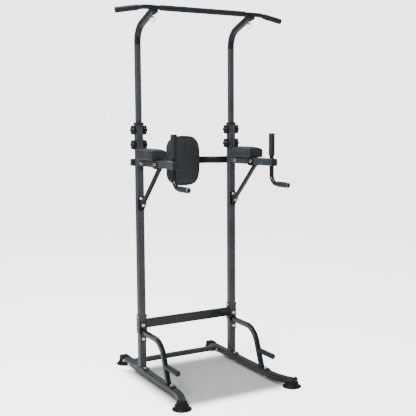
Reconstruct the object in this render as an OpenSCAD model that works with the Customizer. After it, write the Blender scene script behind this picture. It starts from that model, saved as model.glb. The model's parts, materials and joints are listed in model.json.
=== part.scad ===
// Free-standing power tower: pull-up bar, padded dip arms, backrest and push-up handles.
// The origin is on the floor at the middle of the footprint. +Z is up and -Y is the front,
// the side that the arms, the bar and the push-up handles point to.
// The pieces are drawn about the uprights' own plane, Y = 0, and placed() sets them over the footprint.

/* [Base rails] */
// Distance from the middle plane to the axis of each rail and upright
half_span = 304; // [280:1:340]
// Width of a rail
rail_w = 40; // [36:1:46]
// Height of a rail
rail_h = 36; // [32:1:44]
// Wall of a rail
rail_wall = 1.8; // [1.2:0.1:3]
// Outer corner radius of a rail
rail_corner = 6; // [4:0.5:8]
// Gap between a rail and the floor
rail_lift = 15; // [13:1:25]
// Distance from the uprights back to the rear feet
rear_reach = 262; // [250:1:320]
// Distance from the uprights forward to where a rail starts to turn out
toe_start = 430; // [425:1:480]
// Bend radius of a rail's toe
toe_r = 330; // [280:5:400]
// Angle that a rail's toe turns out
toe_angle = 29.5; // [20:0.5:35]

/* [Feet] */
// Diameter of the cup that a rail ends in
foot_cup_d = 70; // [66:1:84]
// Diameter of the flange on the floor
foot_flange_d = 105; // [95:1:130]
// Height of the flange's rim
foot_flange_h = 5; // [3:0.5:8]
// Height of the cup under a rail's end
foot_cup_h = 27; // [20:1:35]
// Length of rail past the foot's axis
foot_hold = 24; // [18:1:28]
// Rubber around a rail's end
end_cap_wall = 3; // [2:0.5:4]
// Length of the rubber cap on a rail's front end
front_cap_l = 16; // [12:1:30]
// Length of the rubber cap on a rail's rear end
rear_cap_l = 52; // [30:1:56]
// Depth of the hollow under the foot
foot_hollow = 2; // [1:0.5:3]

/* [Rear floor bar] */
// Gap between the floor bar's end plate and the rear foot's cup
floor_gap = 1; // [0.5:0.5:30]
// Depth of the floor bar, front to back
floor_bar_depth = 40; // [34:1:50]
// Height of the floor bar
floor_bar_h = 30; // [24:1:32]
// Length of its end plates
floor_plate_l = 104; // [100:1:140]
// Distance between an end plate's two bolts
floor_bolt_pitch = 82; // [70:1:84]

/* [Uprights] */
// Side of an upright's square tube
post_w = 40; // [38:1:44]
// Wall of an upright
post_wall = 1.5; // [1:0.1:2]
// Outer corner radius of an upright
post_corner = 4; // [3:0.5:6]
// Height of an upright's top end
post_top = 1464; // [1455:1:1555]
// Thickness of the foot, flange and brace plates
plate_t = 4; // [3:0.5:5]
// Width of an upright's foot plate
post_foot_w = 48; // [42:1:56]
// Length of an upright's foot plate
post_foot_l = 124; // [116:1:140]
// Distance from an upright's axis to each of its foot bolts
post_foot_bolt = 42; // [40:1:46]

/* [Sleeve bushes] */
// Side of a bush's head
bush_head_w = 46; // [45:1:56]
// Height of a bush's head
bush_head_h = 14; // [8:1:20]
// Depth of a bush inside the upright
bush_depth = 140; // [134:1:150]
// Gap on each side of a sliding tube
slide_clear = 0.2; // [0.1:0.05:0.3]
// Gap between a bush and the upright's inner faces
bush_fit = 0.1; // [0.05:0.05:0.2]

/* [Lower crossbeam] */
// Height of the crossbeam's axis
beam_z = 312; // [295:1:325]
// Height of the crossbeam's tube
beam_h = 50; // [44:1:60]
// Depth of the crossbeam's tube
beam_depth = 32; // [26:1:38]
// Height of its flange plates
beam_plate_h = 112; // [110:1:120]
// Distance between the two bolts of a flange plate
beam_bolt_pitch = 89; // [86:1:90]

/* [Push-up braces] */
// Side of the square tube
brace_w = 26; // [22:1:30]
// Wall of the tube
brace_wall = 1.5; // [1:0.1:2]
// Outer corner radius of the tube
brace_corner = 3; // [2.5:0.5:4]
// Height of the tube's level top run
brace_z = 267; // [263:1:275]
// Length of the level run
brace_run = 159; // [150:1:180]
// Bend radius at the tube's axis
brace_r = 120; // [100:5:125]
// Angle that the bend turns through
brace_turn = 69; // [62:1:72]
// Height of the plate on the upright
brace_plate_h = 122; // [118:1:124]
// Distance between that plate's two bolts
brace_bolt_pitch = 82; // [78:1:84]
// Distance from the foot of the leg forward to the end of the foot plate
brace_toe = 65; // [58:1:70]
// Distance from the foot of the leg back to the end of the foot plate
brace_heel = 20; // [18:1:26]
// Distance from the foot of the leg forward to the foot bolt
brace_toe_bolt = 41; // [38:1:44]
// Height of the push-up handle's axis
push_z = 145; // [135:1:155]
// Length of the push-up handle forward of the leg's axis
push_reach = 152; // [130:1:170]
// Length of the push-up grip
push_grip_l = 130; // [110:1:134]

/* [Top frame] */
// Side of the sliding square tube
slide_w = 30; // [26:1:32]
// Wall of the sliding tube
slide_wall = 1.5; // [1:0.1:2]
// Outer corner radius of the sliding tube
slide_corner = 3; // [2.5:0.5:4]
// Height of the sliding tube's lower end
slide_bottom = 1290; // [1283:1:1300]
// Height of the joint between a sliding tube and its curved tube
joint_z = 1911; // [1855:1:1935]
// Height of the adjusting hole that shows above the bush
adjust_hole_z = 1614.5; // [1595:0.5:1695]
// Length of the curved tube's spigot
spigot_l = 60; // [40:1:90]
// Gap around the spigot
spigot_fit = 0.1; // [0.05:0.05:0.2]
// Length of straight tube above the joint
crook_rise = 14; // [5:1:40]
// Bend radius of a curved top tube
crook_r = 103; // [90:1:120]
// Angle that a curved top tube turns forward
crook_turn = 70; // [66:1:72]
// Length of the straight run after the bend
crook_run = 136; // [120:1:150]

/* [Pull-up bar] */
// Diameter of every round handle tube
bar_d = 25; // [24:0.5:28]
// Wall of every round handle tube
bar_wall = 2; // [1.5:0.1:3]
// Distance from the uprights forward to the bar's axis
bar_y = 222; // [219:1:226]
// Height of the bar's axis
bar_z = 2087; // [2085:1:2090]
// Distance from the middle to the corner of each bent end
bar_corner_x = 364; // [358:1:380]
// Length of each bent end past its corner
bar_end_l = 154; // [150:1:170]
// Bend radius of the ends
bar_bend_r = 150; // [100:5:180]
// Angle of the bends to the bar's ends
bar_turn = 11; // [8:0.5:15]
// Direction in which the bar's ends bend, 90 being straight down and 180 straight back
bar_roll = 123; // [95:1:150]
// Width of the saddle that carries the bar
saddle_w = 34; // [33:1:40]
// Wall of the saddle round the bar
saddle_wall = 5; // [4:0.5:6]
// Height of the saddle's front lip over the bar's axis
saddle_lip = 6; // [3:0.5:9]

/* [Grips] */
// Wall of the foam grips on the pull-up bar
grip_wall = 3.2; // [2.5:0.1:5]
// Length of the middle grip
centre_grip_l = 530; // [480:5:540]
// Length of each end grip
end_grip_l = 122; // [110:1:128]
// Wall of the grips on the dip handles
dip_grip_wall = 4.5; // [3:0.1:6]
// Gap between a grip and its tube
grip_fit = 0.1; // [0.05:0.05:0.2]
// Thickness of a grip's closed end
grip_cap = 4; // [2:0.5:6]

/* [Hanging rings] */
// Distance from the bar's axis back to the eye bolt
eye_back = 20; // [19.5:0.5:21]
// Wire diameter of the eye bolts
eye_wire = 6; // [5:0.5:7]
// Bend radius of the eye's wire
eye_r = 4; // [4:0.5:5]
// Straight length of each short side of the eye
eye_l = 6; // [5:0.5:8]
// Height of the eye between its wire's axes
eye_h = 16; // [15.5:0.5:20]
// Distance from the bar's axis down to the eye's lower wire
eye_drop = 54; // [53:0.5:60]
// Height of the eye bolt's end over the bar's axis
eye_end = 19; // [14:0.5:24]
// Mean radius of a ring
ring_r = 13.5; // [12:0.5:16]
// Wire diameter of a ring
ring_wire = 4; // [3:0.5:5]
// Gap between a ring and its eye
ring_clear = 0.3; // [0.2:0.05:0.5]

/* [Locking knobs] */
// Height of the upper knobs
knob_top_z = 1436; // [1431:1:1439]
// Distance between the upper and lower knobs
knob_pitch = 83; // [78:1:86]
// Diameter of a knob over its lobes
knob_d = 56; // [46:1:60]
// Thickness of a knob's head
knob_t = 19; // [12:1:24]
// Number of lobes
knob_lobes = 6; // [5:1:8]
// Length of the knob's neck
knob_neck = 5; // [3:0.5:8]
// Diameter of a knob's screw
stud_d = 10; // [8:1:12]
// Radial gap of the screw in its hole
stud_clear = 0.05; // [0.02:0.01:0.1]
// Gap between a backed-off screw and the sliding tube
stud_gap = 0.3; // [0.2:0.05:0.5]

/* [Arms] */
// Side of the square tube of an arm
arm_w = 40; // [36:1:42]
// Wall of the tube
arm_wall = 1.5; // [1:0.1:2]
// Height of an arm's axis
arm_z = 1254; // [1245:1:1265]
// Distance from the uprights to an arm's front end
arm_reach = 472; // [465:1:520]
// Thickness of the arm sockets and clips
socket_t = 3; // [2:0.5:4]
// Gap between an arm and its socket or clip
socket_fit = 0.2; // [0.1:0.05:0.3]
// Distance from the uprights to the socket's front edge
socket_reach = 112; // [104:1:120]
// Distance from the uprights to the socket's bolt
socket_bolt_y = 85; // [75:1:90]
// Thickness of an arm's end plug
plug_t = 4; // [3:0.5:6]

/* [Arm pads] */
// Width of an arm pad
arm_pad_w = 100; // [86:1:104]
// Length of an arm pad
arm_pad_l = 215; // [190:1:235]
// Height of an arm pad
arm_pad_h = 63; // [45:1:70]
// Distance from the uprights to the pad's rear end
arm_pad_y = 62; // [50:1:70]
// Shift of an arm pad outwards from the arm's axis
arm_pad_out = 5; // [0:1:10]
// Corner radius of an arm pad, seen from above
arm_pad_corner = 11; // [8:1:24]

/* [Arm braces] */
// Side of the square tube of an arm brace
strut_w = 20; // [18:1:22]
// Wall of the tube
strut_wall = 1.5; // [1:0.1:2]
// Rise of the brace from level
strut_angle = 43.2; // [42:0.1:45]
// Distance from the uprights to where the brace's axis meets the arm
strut_reach = 275; // [270:1:282]
// Distance from the uprights to the clip's bolt
clip_y = 258; // [252:1:262]
// Half length of the clip
clip_r = 28; // [25:1:30]
// Height of the brace's lower end over the bottom of its plate
strut_rise = 48; // [44:1:51]
// Height of that plate
strut_plate_h = 78; // [74:1:84]
// Distance from the uprights to the lower bracket's lip
strut_lip_y = 50; // [46:1:54]
// Heights of the bracket's two bolts over the bottom of the plate
strut_bolt_low = 32; // [30:1:34]
strut_bolt_high = 65; // [63:1:67]

/* [Dip handles] */
// Distance from the uprights to a dip handle's axis
dip_y = 444; // [440:1:446]
// Height of a dip handle's top end
dip_top = 1412; // [1395:1:1455]
// Length of the upper grip
dip_grip_l = 121; // [90:1:124]
// Bend radius under the arm
dip_r = 50; // [40:1:60]
// Angle that the handle turns through
dip_turn = 90; // [75:1:90]
// Height of the corner where the handle turns forward
dip_corner_z = 1136; // [1125:1:1155]
// Length of the forward run past that corner
dip_run = 158; // [148:1:190]
// Length of the lower grip
low_grip_l = 96; // [70:1:100]

/* [Backrest] */
// Height of the backrest's middle
rest_z = 1252; // [1245:1:1259]
// Width of the pad
rest_w = 219; // [180:1:230]
// Height of the pad
rest_h = 299; // [250:1:310]
// Thickness of the pad
rest_t = 38; // [30:1:50]
// Corner radius of the pad, seen from the front
rest_corner = 78; // [40:1:85]
// Thickness of the board behind the pad
board_t = 12; // [9:1:15]
// Distance that the board's edge stays inside the pad's
board_inset = 6; // [3:1:12]
// Side of the square crossbar
cross_w = 40; // [36:1:42]
// Wall of the crossbar
cross_wall = 1.5; // [1:0.1:2]
// Set-back of the crossbar's middle
cross_back = 46; // [40:1:60]
// Bend radius of the crossbar
cross_r = 50; // [40:1:60]
// Angle of each bend
cross_turn = 45; // [40:1:50]
// Half length of the crossbar's set-back middle
cross_half = 165; // [150:1:170]
// Length of crossbar past each upright
cross_over = 6; // [4:1:12]
// Thickness of the crossbar's end caps
cross_cap = 4; // [3:1:8]
// Width of the plate between crossbar and board
rest_plate_w = 120; // [100:1:140]
// Height of that plate
rest_plate_h = 110; // [100:1:130]

/* [Fasteners] */
// Diameter of the frame bolts
bolt_d = 10; // [8:1:10]
// Radial gap of a bolt in its hole
bolt_clear = 0.25; // [0.1:0.05:0.4]
// Width of a hexagon head or nut across its flats
hex_w = 16; // [13:1:17]
// Height of a bolt head
head_h = 6.5; // [5:0.5:7]
// Height of a nut
nut_h = 8; // [6:0.5:9]
// Washer diameter
washer_d = 20; // [17:1:21]
// Washer thickness
washer_t = 2; // [1.5:0.1:2.5]

/* [Hidden] */
$fn = 64;

LEFT = -1;
RIGHT = 1;
OUT = 1;
IN = -1;
steel = "#3c4244";
plastic = "#17191a";
rubber = "#1e2021";
foam = "#2a2c2d";
vinyl = "#37393b";
wood = "#8a6f4e";
zinc = "#c9cccd";
chrome = "#e4e7e8";
draw_in = 0.05;                              // a bent pipe's end is this much smaller all round
trim = 60;                                   // side of the cube that squares a bend's end
cut = 1;                                     // how far a cutting solid runs past a face
rail_top = rail_lift + rail_h;
rail_z = rail_lift + rail_h / 2;
post_bottom = rail_top + plate_t;
post_face = post_w / 2;
front_foot = [half_span + toe_r * (1 - cos(toe_angle)), -(toe_start + toe_r * sin(toe_angle))];
rear_foot = [half_span, rear_reach];
upright_y = -(front_foot.y + rear_reach) / 2;
rear_cap_y = rear_reach + foot_hold + end_cap_wall - rear_cap_l;
rear_cup_y = rear_reach - norm_leg(foot_cup_d / 2, rail_w / 2);
floor_bar_y = min(rear_cap_y, rear_cup_y) - floor_gap - floor_plate_l / 2;
beam_bolts_z = [beam_z - beam_bolt_pitch / 2, beam_z + beam_bolt_pitch / 2];
brace_bolts_z = [brace_z - brace_bolt_pitch / 2, brace_z + brace_bolt_pitch / 2];
brace_lean = 90 - brace_turn;
brace_bend_end = [-(post_face + plate_t + brace_run + brace_r * sin(brace_turn)),
                  brace_z - brace_r * (1 - cos(brace_turn))];
brace_drop = brace_bend_end[1] - post_bottom;
brace_foot_y = brace_bend_end[0] - brace_drop * tan(brace_lean);
push_start_y = brace_bend_end[0] - (brace_bend_end[1] - push_z) * tan(brace_lean);
crook_end = [-(crook_r * (1 - cos(crook_turn)) + crook_run * sin(crook_turn)),
             joint_z + crook_rise + crook_r * sin(crook_turn) + crook_run * cos(crook_turn)];
bar_tangent = bar_bend_r * tan(bar_turn / 2);
saddle_seat = bar_z - bar_d / 2 - grip_fit - saddle_wall;   // where the bar's screw is seated
eye_y = bar_y - eye_back;
eye_low = bar_z - eye_drop;
ring_z = eye_low + eye_wire / 2 + ring_clear + ring_wire / 2 - ring_r;
ring_y = eye_y + eye_r + eye_l / 2;
knobs_z = [knob_top_z, knob_top_z - knob_pitch];
arm_top = arm_z + arm_w / 2;
arm_under = arm_z - arm_w / 2;
clip_under = arm_under - socket_fit - socket_t;
strut_end_y = strut_lip_y + 5;
strut_end_z = arm_under - (strut_reach - strut_end_y) * tan(strut_angle);
strut_plate_z = strut_end_z - strut_rise;
strut_bolts_z = [strut_plate_z + strut_bolt_low, strut_plate_z + strut_bolt_high];
ear_root = [2, 50];       // heights of a bracket's ear on its plate
ear_low = 20;
ear_bulge = [16, 46];     // the ear's furthest point past the lip
ear_top = 60;
lip_h = 24;
dip_tangent = dip_r * tan(dip_turn / 2);
cross_y = post_face + cross_w / 2;
bow_step = 5;             // step of the crossbar's bends
plate_corner = 8;
cap_corner = 2;
end_cap_step = 2;
cross_side = (cross_back - 2 * cross_r * (1 - cos(cross_turn))) / sin(cross_turn);
cross_shift = 2 * cross_r * sin(cross_turn) + cross_side * cos(cross_turn);
cross_end_x = half_span + post_face + cross_over;
plate_y = cross_y + cross_back - cross_w / 2;          // front face of the crossbar's middle
rest_back = plate_y - plate_t;                         // back face of the backrest's board
rest_screws = [rest_plate_w / 2 - 15, rest_plate_h / 2 - 12];

// Other short side of a right triangle.
function norm_leg(long, side) = sqrt(long * long - side * side);

// ---------- placing ----------

module placed(c) color(c) translate([0, upright_y, 0]) children();

// What is drawn for the right-hand side, on the side asked for.
module on_side(side) {
  if (side == LEFT) mirror([1, 0, 0]) children();
  else children();
}

// ---------- tube sections and bent tubes ----------

// Rectangle of x by y with round corners of radius r.
module rounded(x, y, r) {
  square([x - 2 * r, y], center = true);
  square([x, y - 2 * r], center = true);
  for (sx = [-1, 1], sy = [-1, 1]) translate([sx * (x / 2 - r), sy * (y / 2 - r)]) circle(r = r);
}

module box_section(x, y, r, wall) difference() {
  rounded(x, y, r);
  rounded(x - 2 * wall, y - 2 * wall, r - wall);
}

module pipe_section(d, wall) difference() {
  circle(d = d);
  circle(d = d - 2 * wall);
}

// The section (the child) swept along a path of [length, bend radius, bend angle] steps. The path
// starts at the origin along +Z and each bend turns it towards -Y, or towards +Y if the angle is negative.
module sweep(path, i = 0) {
  if (i < len(path)) {
    length = path[i][0];
    r = path[i][1];
    a = path[i][2];
    linear_extrude(length) children();
    if (a != 0) translate([0, 0, length]) {
      bend(r, a) children();
      turned(r, a) sweep(path, i + 1) children();
    }
  }
}

// Frame at the end of a bend.
module turned(r, a) {
  side = a > 0 ? r : -r;
  translate([0, -side, 0]) rotate([a, 0, 0]) translate([0, side, 0]) children();
}

// Bend that overruns its angle and is trimmed square by the frame of what follows.
module bend(r, a) difference() {
  rotate([0, 0, a > 0 ? 0 : 180]) translate([0, -r, 0]) rotate([90, 0, 90])
    rotate_extrude(angle = abs(a) + 1, $fn = 96) translate([r, 0]) mirror([1, -1])
      rotate(a > 0 ? 0 : 180) children();
  turned(r, a) translate([-trim / 2, -trim / 2, 0]) cube(trim);
}

// Pipe of length, bent once; the end past the bend is drawn in a little.
module bent_pipe(length, r, a, end_l) {
  linear_extrude(length) pipe_section(bar_d, bar_wall);
  translate([0, 0, length]) {
    bend(r, a) pipe_section(bar_d, bar_wall);
    turned(r, a) linear_extrude(end_l) pipe_section(bar_d - 2 * draw_in, bar_wall - 2 * draw_in);
  }
}

// Frames in which +Z runs along the tube and -Y is the side that it bends to.
module forward_turning_out() rotate([90, -90, 0]) children();
module forward_turning_down() rotate([90, 0, 0]) children();
module down_turning_forward() rotate([0, 180, 0]) children();

// ---------- fasteners ----------

module hexagon(h) cylinder(d = hex_w / cos(30), h = h, $fn = 6);

// Bolt with washers and nut along +Z, clamping from z = 0 to z = grip.
module bolt(grip) {
  translate([0, 0, -washer_t]) cylinder(d = washer_d, h = washer_t);
  translate([0, 0, -washer_t - head_h]) hexagon(head_h);
  cylinder(d = bolt_d, h = grip + washer_t + nut_h + 2);
  translate([0, 0, grip]) cylinder(d = washer_d, h = washer_t);
  translate([0, 0, grip + washer_t]) hexagon(nut_h);
}

// Screw with its washer along +Z, whose thread ends inside the last piece, at z = reach.
module screw(reach) {
  translate([0, 0, -washer_t]) cylinder(d = washer_d, h = washer_t);
  translate([0, 0, -washer_t - head_h]) hexagon(head_h);
  cylinder(d = bolt_d, h = reach);
}

module hole(reach) translate([0, 0, -cut]) cylinder(d = bolt_d + 2 * bolt_clear, h = reach + 2 * cut);

module along_x() rotate([0, 90, 0]) children();
module along_back() rotate([-90, 0, 0]) children();
module along_front() rotate([90, 0, 0]) children();
module along_down() rotate([180, 0, 0]) children();

// Side view (y, z) made width thick across the middle plane.
module across(width) rotate([90, 0, 90]) linear_extrude(width, center = true) children();

// ---------- base ----------

// Envelope or wall of a rail, from the rear foot to the front one, grown by gap on every side.
module rail_path(gap) translate([half_span, rear_reach + foot_hold + gap, rail_z])
  forward_turning_out()
    sweep([[rear_reach + foot_hold + gap + toe_start, toe_r, toe_angle], [foot_hold + gap, 0, 0]])
      children();

module base_rail(side) placed(steel) on_side(side) difference() {
  rail_path(0) box_section(rail_h, rail_w, rail_corner, rail_wall);
  for (y = [-post_foot_bolt, post_foot_bolt, brace_foot_y - brace_toe_bolt])
    translate([half_span, y, rail_lift]) hole(rail_h);
  for (s = [-1, 1])
    translate([half_span - rail_w / 2, floor_bar_y + s * floor_bolt_pitch / 2, rail_z])
      along_x() hole(rail_w);
}

// Rubber foot: a low cup with a cap closed over the rail's end, on a flange with a hollow underside.
module foot(side, centre, turn, cap_l) placed(rubber) on_side(side) difference() {
  cup_r = foot_cup_d / 2;
  rim_r = foot_flange_d / 2;
  x = rail_w + 2 * end_cap_wall;
  y = rail_h + 2 * end_cap_wall;
  r = rail_corner + end_cap_wall;
  translate([centre.x, centre.y, 0]) {
    rotate_extrude($fn = 96) polygon([
      [0, foot_hollow], [rim_r - 14, foot_hollow], [rim_r - 10, 0], [rim_r, 0], [rim_r, foot_flange_h],
      [rim_r - 4, foot_flange_h + 2], [cup_r + 3, foot_flange_h + 4], [cup_r, foot_flange_h + 8],
      [cup_r - 2, foot_cup_h - 3], [cup_r - 3, foot_cup_h - 1], [cup_r - 5, foot_cup_h], [0, foot_cup_h]]);
    rotate([0, 0, turn]) translate([0, -foot_hold - end_cap_wall, rail_z]) {
      translate([0, end_cap_step, 0]) along_back() linear_extrude(cap_l - end_cap_step) rounded(x, y, r);
      along_back() linear_extrude(cap_l)
        rounded(x - 2 * end_cap_step, y - 2 * end_cap_step, r - end_cap_step);
    }
  }
  rail_path(bolt_clear)
    rounded(rail_h + 2 * bolt_clear, rail_w + 2 * bolt_clear, rail_corner + bolt_clear);
}

module rear_floor_bar() placed(steel) {
  inner = half_span - rail_w / 2;
  translate([plate_t - inner, floor_bar_y, rail_z]) along_x() linear_extrude(2 * (inner - plate_t))
    box_section(floor_bar_h, floor_bar_depth, floor_bar_h / 2 - 2, rail_wall);
  for (s = [-1, 1]) difference() {
    translate([s * (inner - plate_t / 2), floor_bar_y, rail_z])
      along_x() linear_extrude(plate_t, center = true)
        rounded(rail_h - 2, floor_plate_l, rail_corner);
    for (t = [-1, 1])
      translate([s * inner - plate_t, floor_bar_y + t * floor_bolt_pitch / 2, rail_z])
        along_x() hole(2 * plate_t);
  }
}

module base_bolts() placed(zinc) for (side = [LEFT, RIGHT]) {
  left_face = side * half_span - rail_w / 2;
  plates = side == LEFT ? [0, plate_t] : [plate_t, 0];     // flange plate before and after the rail
  for (t = [-1, 1])
    translate([left_face - plates[0], floor_bar_y + t * floor_bolt_pitch / 2, rail_z])
      along_x() bolt(rail_w + plate_t);
  for (y = [-post_foot_bolt, post_foot_bolt, brace_foot_y - brace_toe_bolt])
    translate([side * half_span, y, post_bottom]) along_down() bolt(rail_h + plate_t);
}

// ---------- uprights ----------

// Square tube with its foot plate and the U-shaped arm socket welded on.
module upright(side) placed(steel) on_side(side) translate([half_span, 0, 0]) difference() {
  union() {
    translate([0, 0, post_bottom]) linear_extrude(post_top - post_bottom)
      box_section(post_w, post_w, post_corner, post_wall);
    translate([0, 0, rail_top]) linear_extrude(plate_t) rounded(post_foot_w, post_foot_l, post_corner);
    arm_socket();
  }
  for (s = [-1, 1]) translate([0, s * post_foot_bolt, rail_top]) hole(plate_t);
  for (z = beam_bolts_z) translate([-post_face, 0, z]) along_x() hole(post_w);
  for (z = concat(brace_bolts_z, strut_bolts_z)) translate([0, -post_face, z]) along_back() hole(post_w);
  translate([0, 0, rest_z]) along_back() hole(post_face);
  for (z = knobs_z) translate([-post_face - cut, 0, z]) along_x() stud_hole(post_w + 2 * cut);
  translate([-post_face - socket_t, -socket_bolt_y, arm_z]) along_x() hole(post_w + 2 * socket_t);
}

module arm_socket() {
  cheek_x = arm_w / 2 + socket_fit;
  translate([0, -post_face - socket_t / 2, arm_z])
    cube([2 * (cheek_x + socket_t), socket_t, arm_w], center = true);
  for (s = [-1, 1]) translate([s * (cheek_x + socket_t / 2), 0, 0]) across(socket_t)
    translate([-(post_face + socket_reach) / 2, arm_z]) rounded(socket_reach - post_face, arm_w, 3);
}

// Plastic bush in the upright's mouth, in which the upper tube slides.
module sleeve_bush(side) placed(plastic) on_side(side) translate([half_span, 0, 0]) difference() {
  outer = post_w - 2 * post_wall - 2 * bush_fit;
  bore = slide_w + 2 * slide_clear;
  union() {
    translate([0, 0, post_top - bush_depth]) linear_extrude(bush_depth)
      rounded(outer, outer, post_corner - post_wall);
    translate([0, 0, post_top]) linear_extrude(bush_head_h)
      rounded(bush_head_w, bush_head_w, post_corner);
  }
  translate([0, 0, post_top - bush_depth - cut]) linear_extrude(bush_depth + bush_head_h + 2 * cut)
    rounded(bore, bore, slide_corner);
  for (z = knobs_z) translate([-post_face, 0, z]) along_x() stud_hole(post_w);
}

module stud_hole(reach) cylinder(d = stud_d + 2 * stud_clear, h = reach);

// ---------- crossbeam ----------

module lower_crossbeam() placed(steel) {
  inner = half_span - post_face;
  translate([plate_t - inner, 0, beam_z]) along_x() linear_extrude(2 * (inner - plate_t))
    box_section(beam_h, beam_depth, post_corner, post_wall);
  for (s = [-1, 1]) translate([s * (inner - plate_t / 2), 0, 0]) beam_plate();
}

module beam_plate() difference() {
  translate([0, 0, beam_z]) along_x() linear_extrude(plate_t, center = true)
    rounded(beam_plate_h, post_w, post_corner);
  for (z = beam_bolts_z) translate([-plate_t, 0, z]) along_x() hole(2 * plate_t);
}

module beam_backing_plates() placed(steel)
  for (s = [-1, 1]) translate([s * (half_span + post_face + plate_t / 2), 0, 0]) beam_plate();

module beam_bolts() placed(zinc) for (side = [LEFT, RIGHT]) {
  for (z = beam_bolts_z) translate([side * half_span - post_face - plate_t, 0, z])
    along_x() bolt(post_w + 2 * plate_t);
  for (z = brace_bolts_z) translate([side * half_span, -post_face - plate_t, z])
    along_back() bolt(post_w + plate_t);
}

// ---------- curved push-up braces ----------

module curved_brace(side) placed(steel) on_side(side) translate([half_span, 0, 0]) {
  leg = brace_drop / cos(brace_lean);
  difference() {
    translate([0, -post_face - plate_t, brace_z]) forward_turning_down()
      sweep([[brace_run, brace_r, brace_turn], [leg + brace_w, 0, 0]])
        box_section(brace_w, brace_w, brace_corner, brace_wall);
    translate([-brace_w, brace_foot_y - 2 * brace_w, rail_top - 2 * brace_w])
      cube([2 * brace_w, 4 * brace_w, 2 * brace_w + plate_t]);
  }
  difference() {
    translate([0, -post_face, brace_z]) forward_turning_down() linear_extrude(plate_t)
      rounded(post_w, brace_plate_h, post_corner);
    for (z = brace_bolts_z) translate([0, -post_face - plate_t, z]) along_back() hole(plate_t);
  }
  difference() {
    translate([0, brace_foot_y + (brace_heel - brace_toe) / 2, rail_top]) linear_extrude(plate_t)
      rounded(rail_w, brace_heel + brace_toe, post_corner);
    translate([0, brace_foot_y - brace_toe_bolt, rail_top]) hole(plate_t);
  }
  difference() {
    translate([0, push_start_y, push_z]) forward_turning_down() linear_extrude(push_reach)
      pipe_section(bar_d, bar_wall);
    translate([0, push_start_y, push_z]) rotate([-brace_lean, 0, 0])
      cube([2 * brace_w, brace_w - brace_wall, 4 * brace_w], center = true);
  }
}

module push_up_grip(side) placed(foam) on_side(side)
  translate([half_span, push_start_y - push_reach, push_z]) along_back()
    grip(push_grip_l, grip_wall);

// Sleeve from z = 0 along +Z over a handle tube, closed by a domed cap below z = 0.
module grip(length, wall) {
  bore = bar_d / 2 + grip_fit;
  outer = bar_d / 2 + wall;
  rotate_extrude($fn = 64) polygon(concat(
    [[0, 0], [0, -grip_cap]],
    [for (a = [0 : 15 : 90]) [outer - grip_cap + grip_cap * sin(a), -grip_cap * cos(a)]],
    [[outer, length - 1], [outer - 1, length], [bore, length], [bore, 0]]));
}

// ---------- top frame ----------

module upper_tube(side) placed(steel) on_side(side) translate([half_span, 0, 0]) difference() {
  translate([0, 0, slide_bottom]) linear_extrude(joint_z - slide_bottom)
    box_section(slide_w, slide_w, slide_corner, slide_wall);
  for (z = concat(knobs_z, [adjust_hole_z])) translate([-slide_w / 2, 0, z]) along_x() hole(slide_w);
}

// Bent square tube with its spigot below and the bar's saddle welded on its end.
module curved_top_tube(side) placed(steel) on_side(side) translate([half_span, 0, 0]) difference() {
  spigot_w = slide_w - 2 * slide_wall - 2 * spigot_fit;
  spigot_corner = slide_corner - slide_wall;
  union() {
    translate([0, 0, joint_z]) sweep([[crook_rise, crook_r, crook_turn], [crook_run, 0, 0]])
      box_section(slide_w, slide_w, slide_corner, slide_wall);
    translate([0, 0, joint_z - spigot_l]) linear_extrude(spigot_l)
      box_section(spigot_w, spigot_w, spigot_corner, slide_wall);
    translate([0, 0, joint_z]) linear_extrude(crook_rise) difference() {
      rounded(slide_w - slide_wall, slide_w - slide_wall, spigot_corner);
      rounded(spigot_w - 2 * slide_wall, spigot_w - 2 * slide_wall, spigot_corner);
    }
    saddle();
  }
  translate([-saddle_w, -bar_y, bar_z]) along_x() cylinder(d = bar_d + 2 * grip_fit, h = 2 * saddle_w);
  translate([0, -bar_y, saddle_seat - bar_d]) cylinder(d = washer_d + 1, h = bar_d);
  translate([0, -bar_y, saddle_seat]) hole(saddle_wall);
  translate([0, -eye_y, bar_z - 2 * bar_d]) cylinder(d = eye_wire + 2 * bolt_clear, h = 4 * bar_d);
}

// Block under the bar: its underside meets the tube's, and its front lip stands before the bar.
module saddle() {
  front = -bar_y - bar_d / 2 - saddle_wall;
  back = crook_end.x + 4;
  under = crook_end.y - slide_w / 2 / sin(crook_turn) - 4 / tan(crook_turn);
  across(saddle_w) polygon([
    [back, under], [front + 2, saddle_seat - 10], [front, saddle_seat - 8], [front, bar_z + saddle_lip],
    [-bar_y, bar_z + saddle_lip], [-bar_y, bar_z - 2], [back, bar_z - 2]]);
}

// The bar's own plane: each end runs along +Z here, and bends down and back.
module bar_frame(side) translate([0, -bar_y, bar_z]) rotate([bar_roll, 0, 0])
  rotate([0, side * 90, 0]) children();

module pull_up_bar() placed(steel) difference() {
  for (side = [LEFT, RIGHT]) bar_frame(side)
    bent_pipe(bar_corner_x - bar_tangent, bar_bend_r, bar_turn, bar_end_l - bar_tangent);
  for (side = [LEFT, RIGHT]) translate([side * half_span, -bar_y, bar_z - bar_d]) hole(bar_d - cut);
}

module bar_grip_centre() placed(foam) {
  bore = bar_d / 2 + grip_fit;
  outer = bar_d / 2 + grip_wall;
  end = centre_grip_l / 2;
  translate([0, -bar_y, bar_z]) along_x() rotate_extrude() polygon([
    [bore, -end], [outer - 1, -end], [outer, 1 - end], [outer, end - 1], [outer - 1, end], [bore, end]]);
}

module bar_grip(side) placed(foam) bar_frame(side) translate([0, 0, bar_corner_x])
  rotate([bar_turn, 0, 0]) translate([0, 0, bar_end_l]) along_down() grip(end_grip_l, grip_wall);

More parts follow.
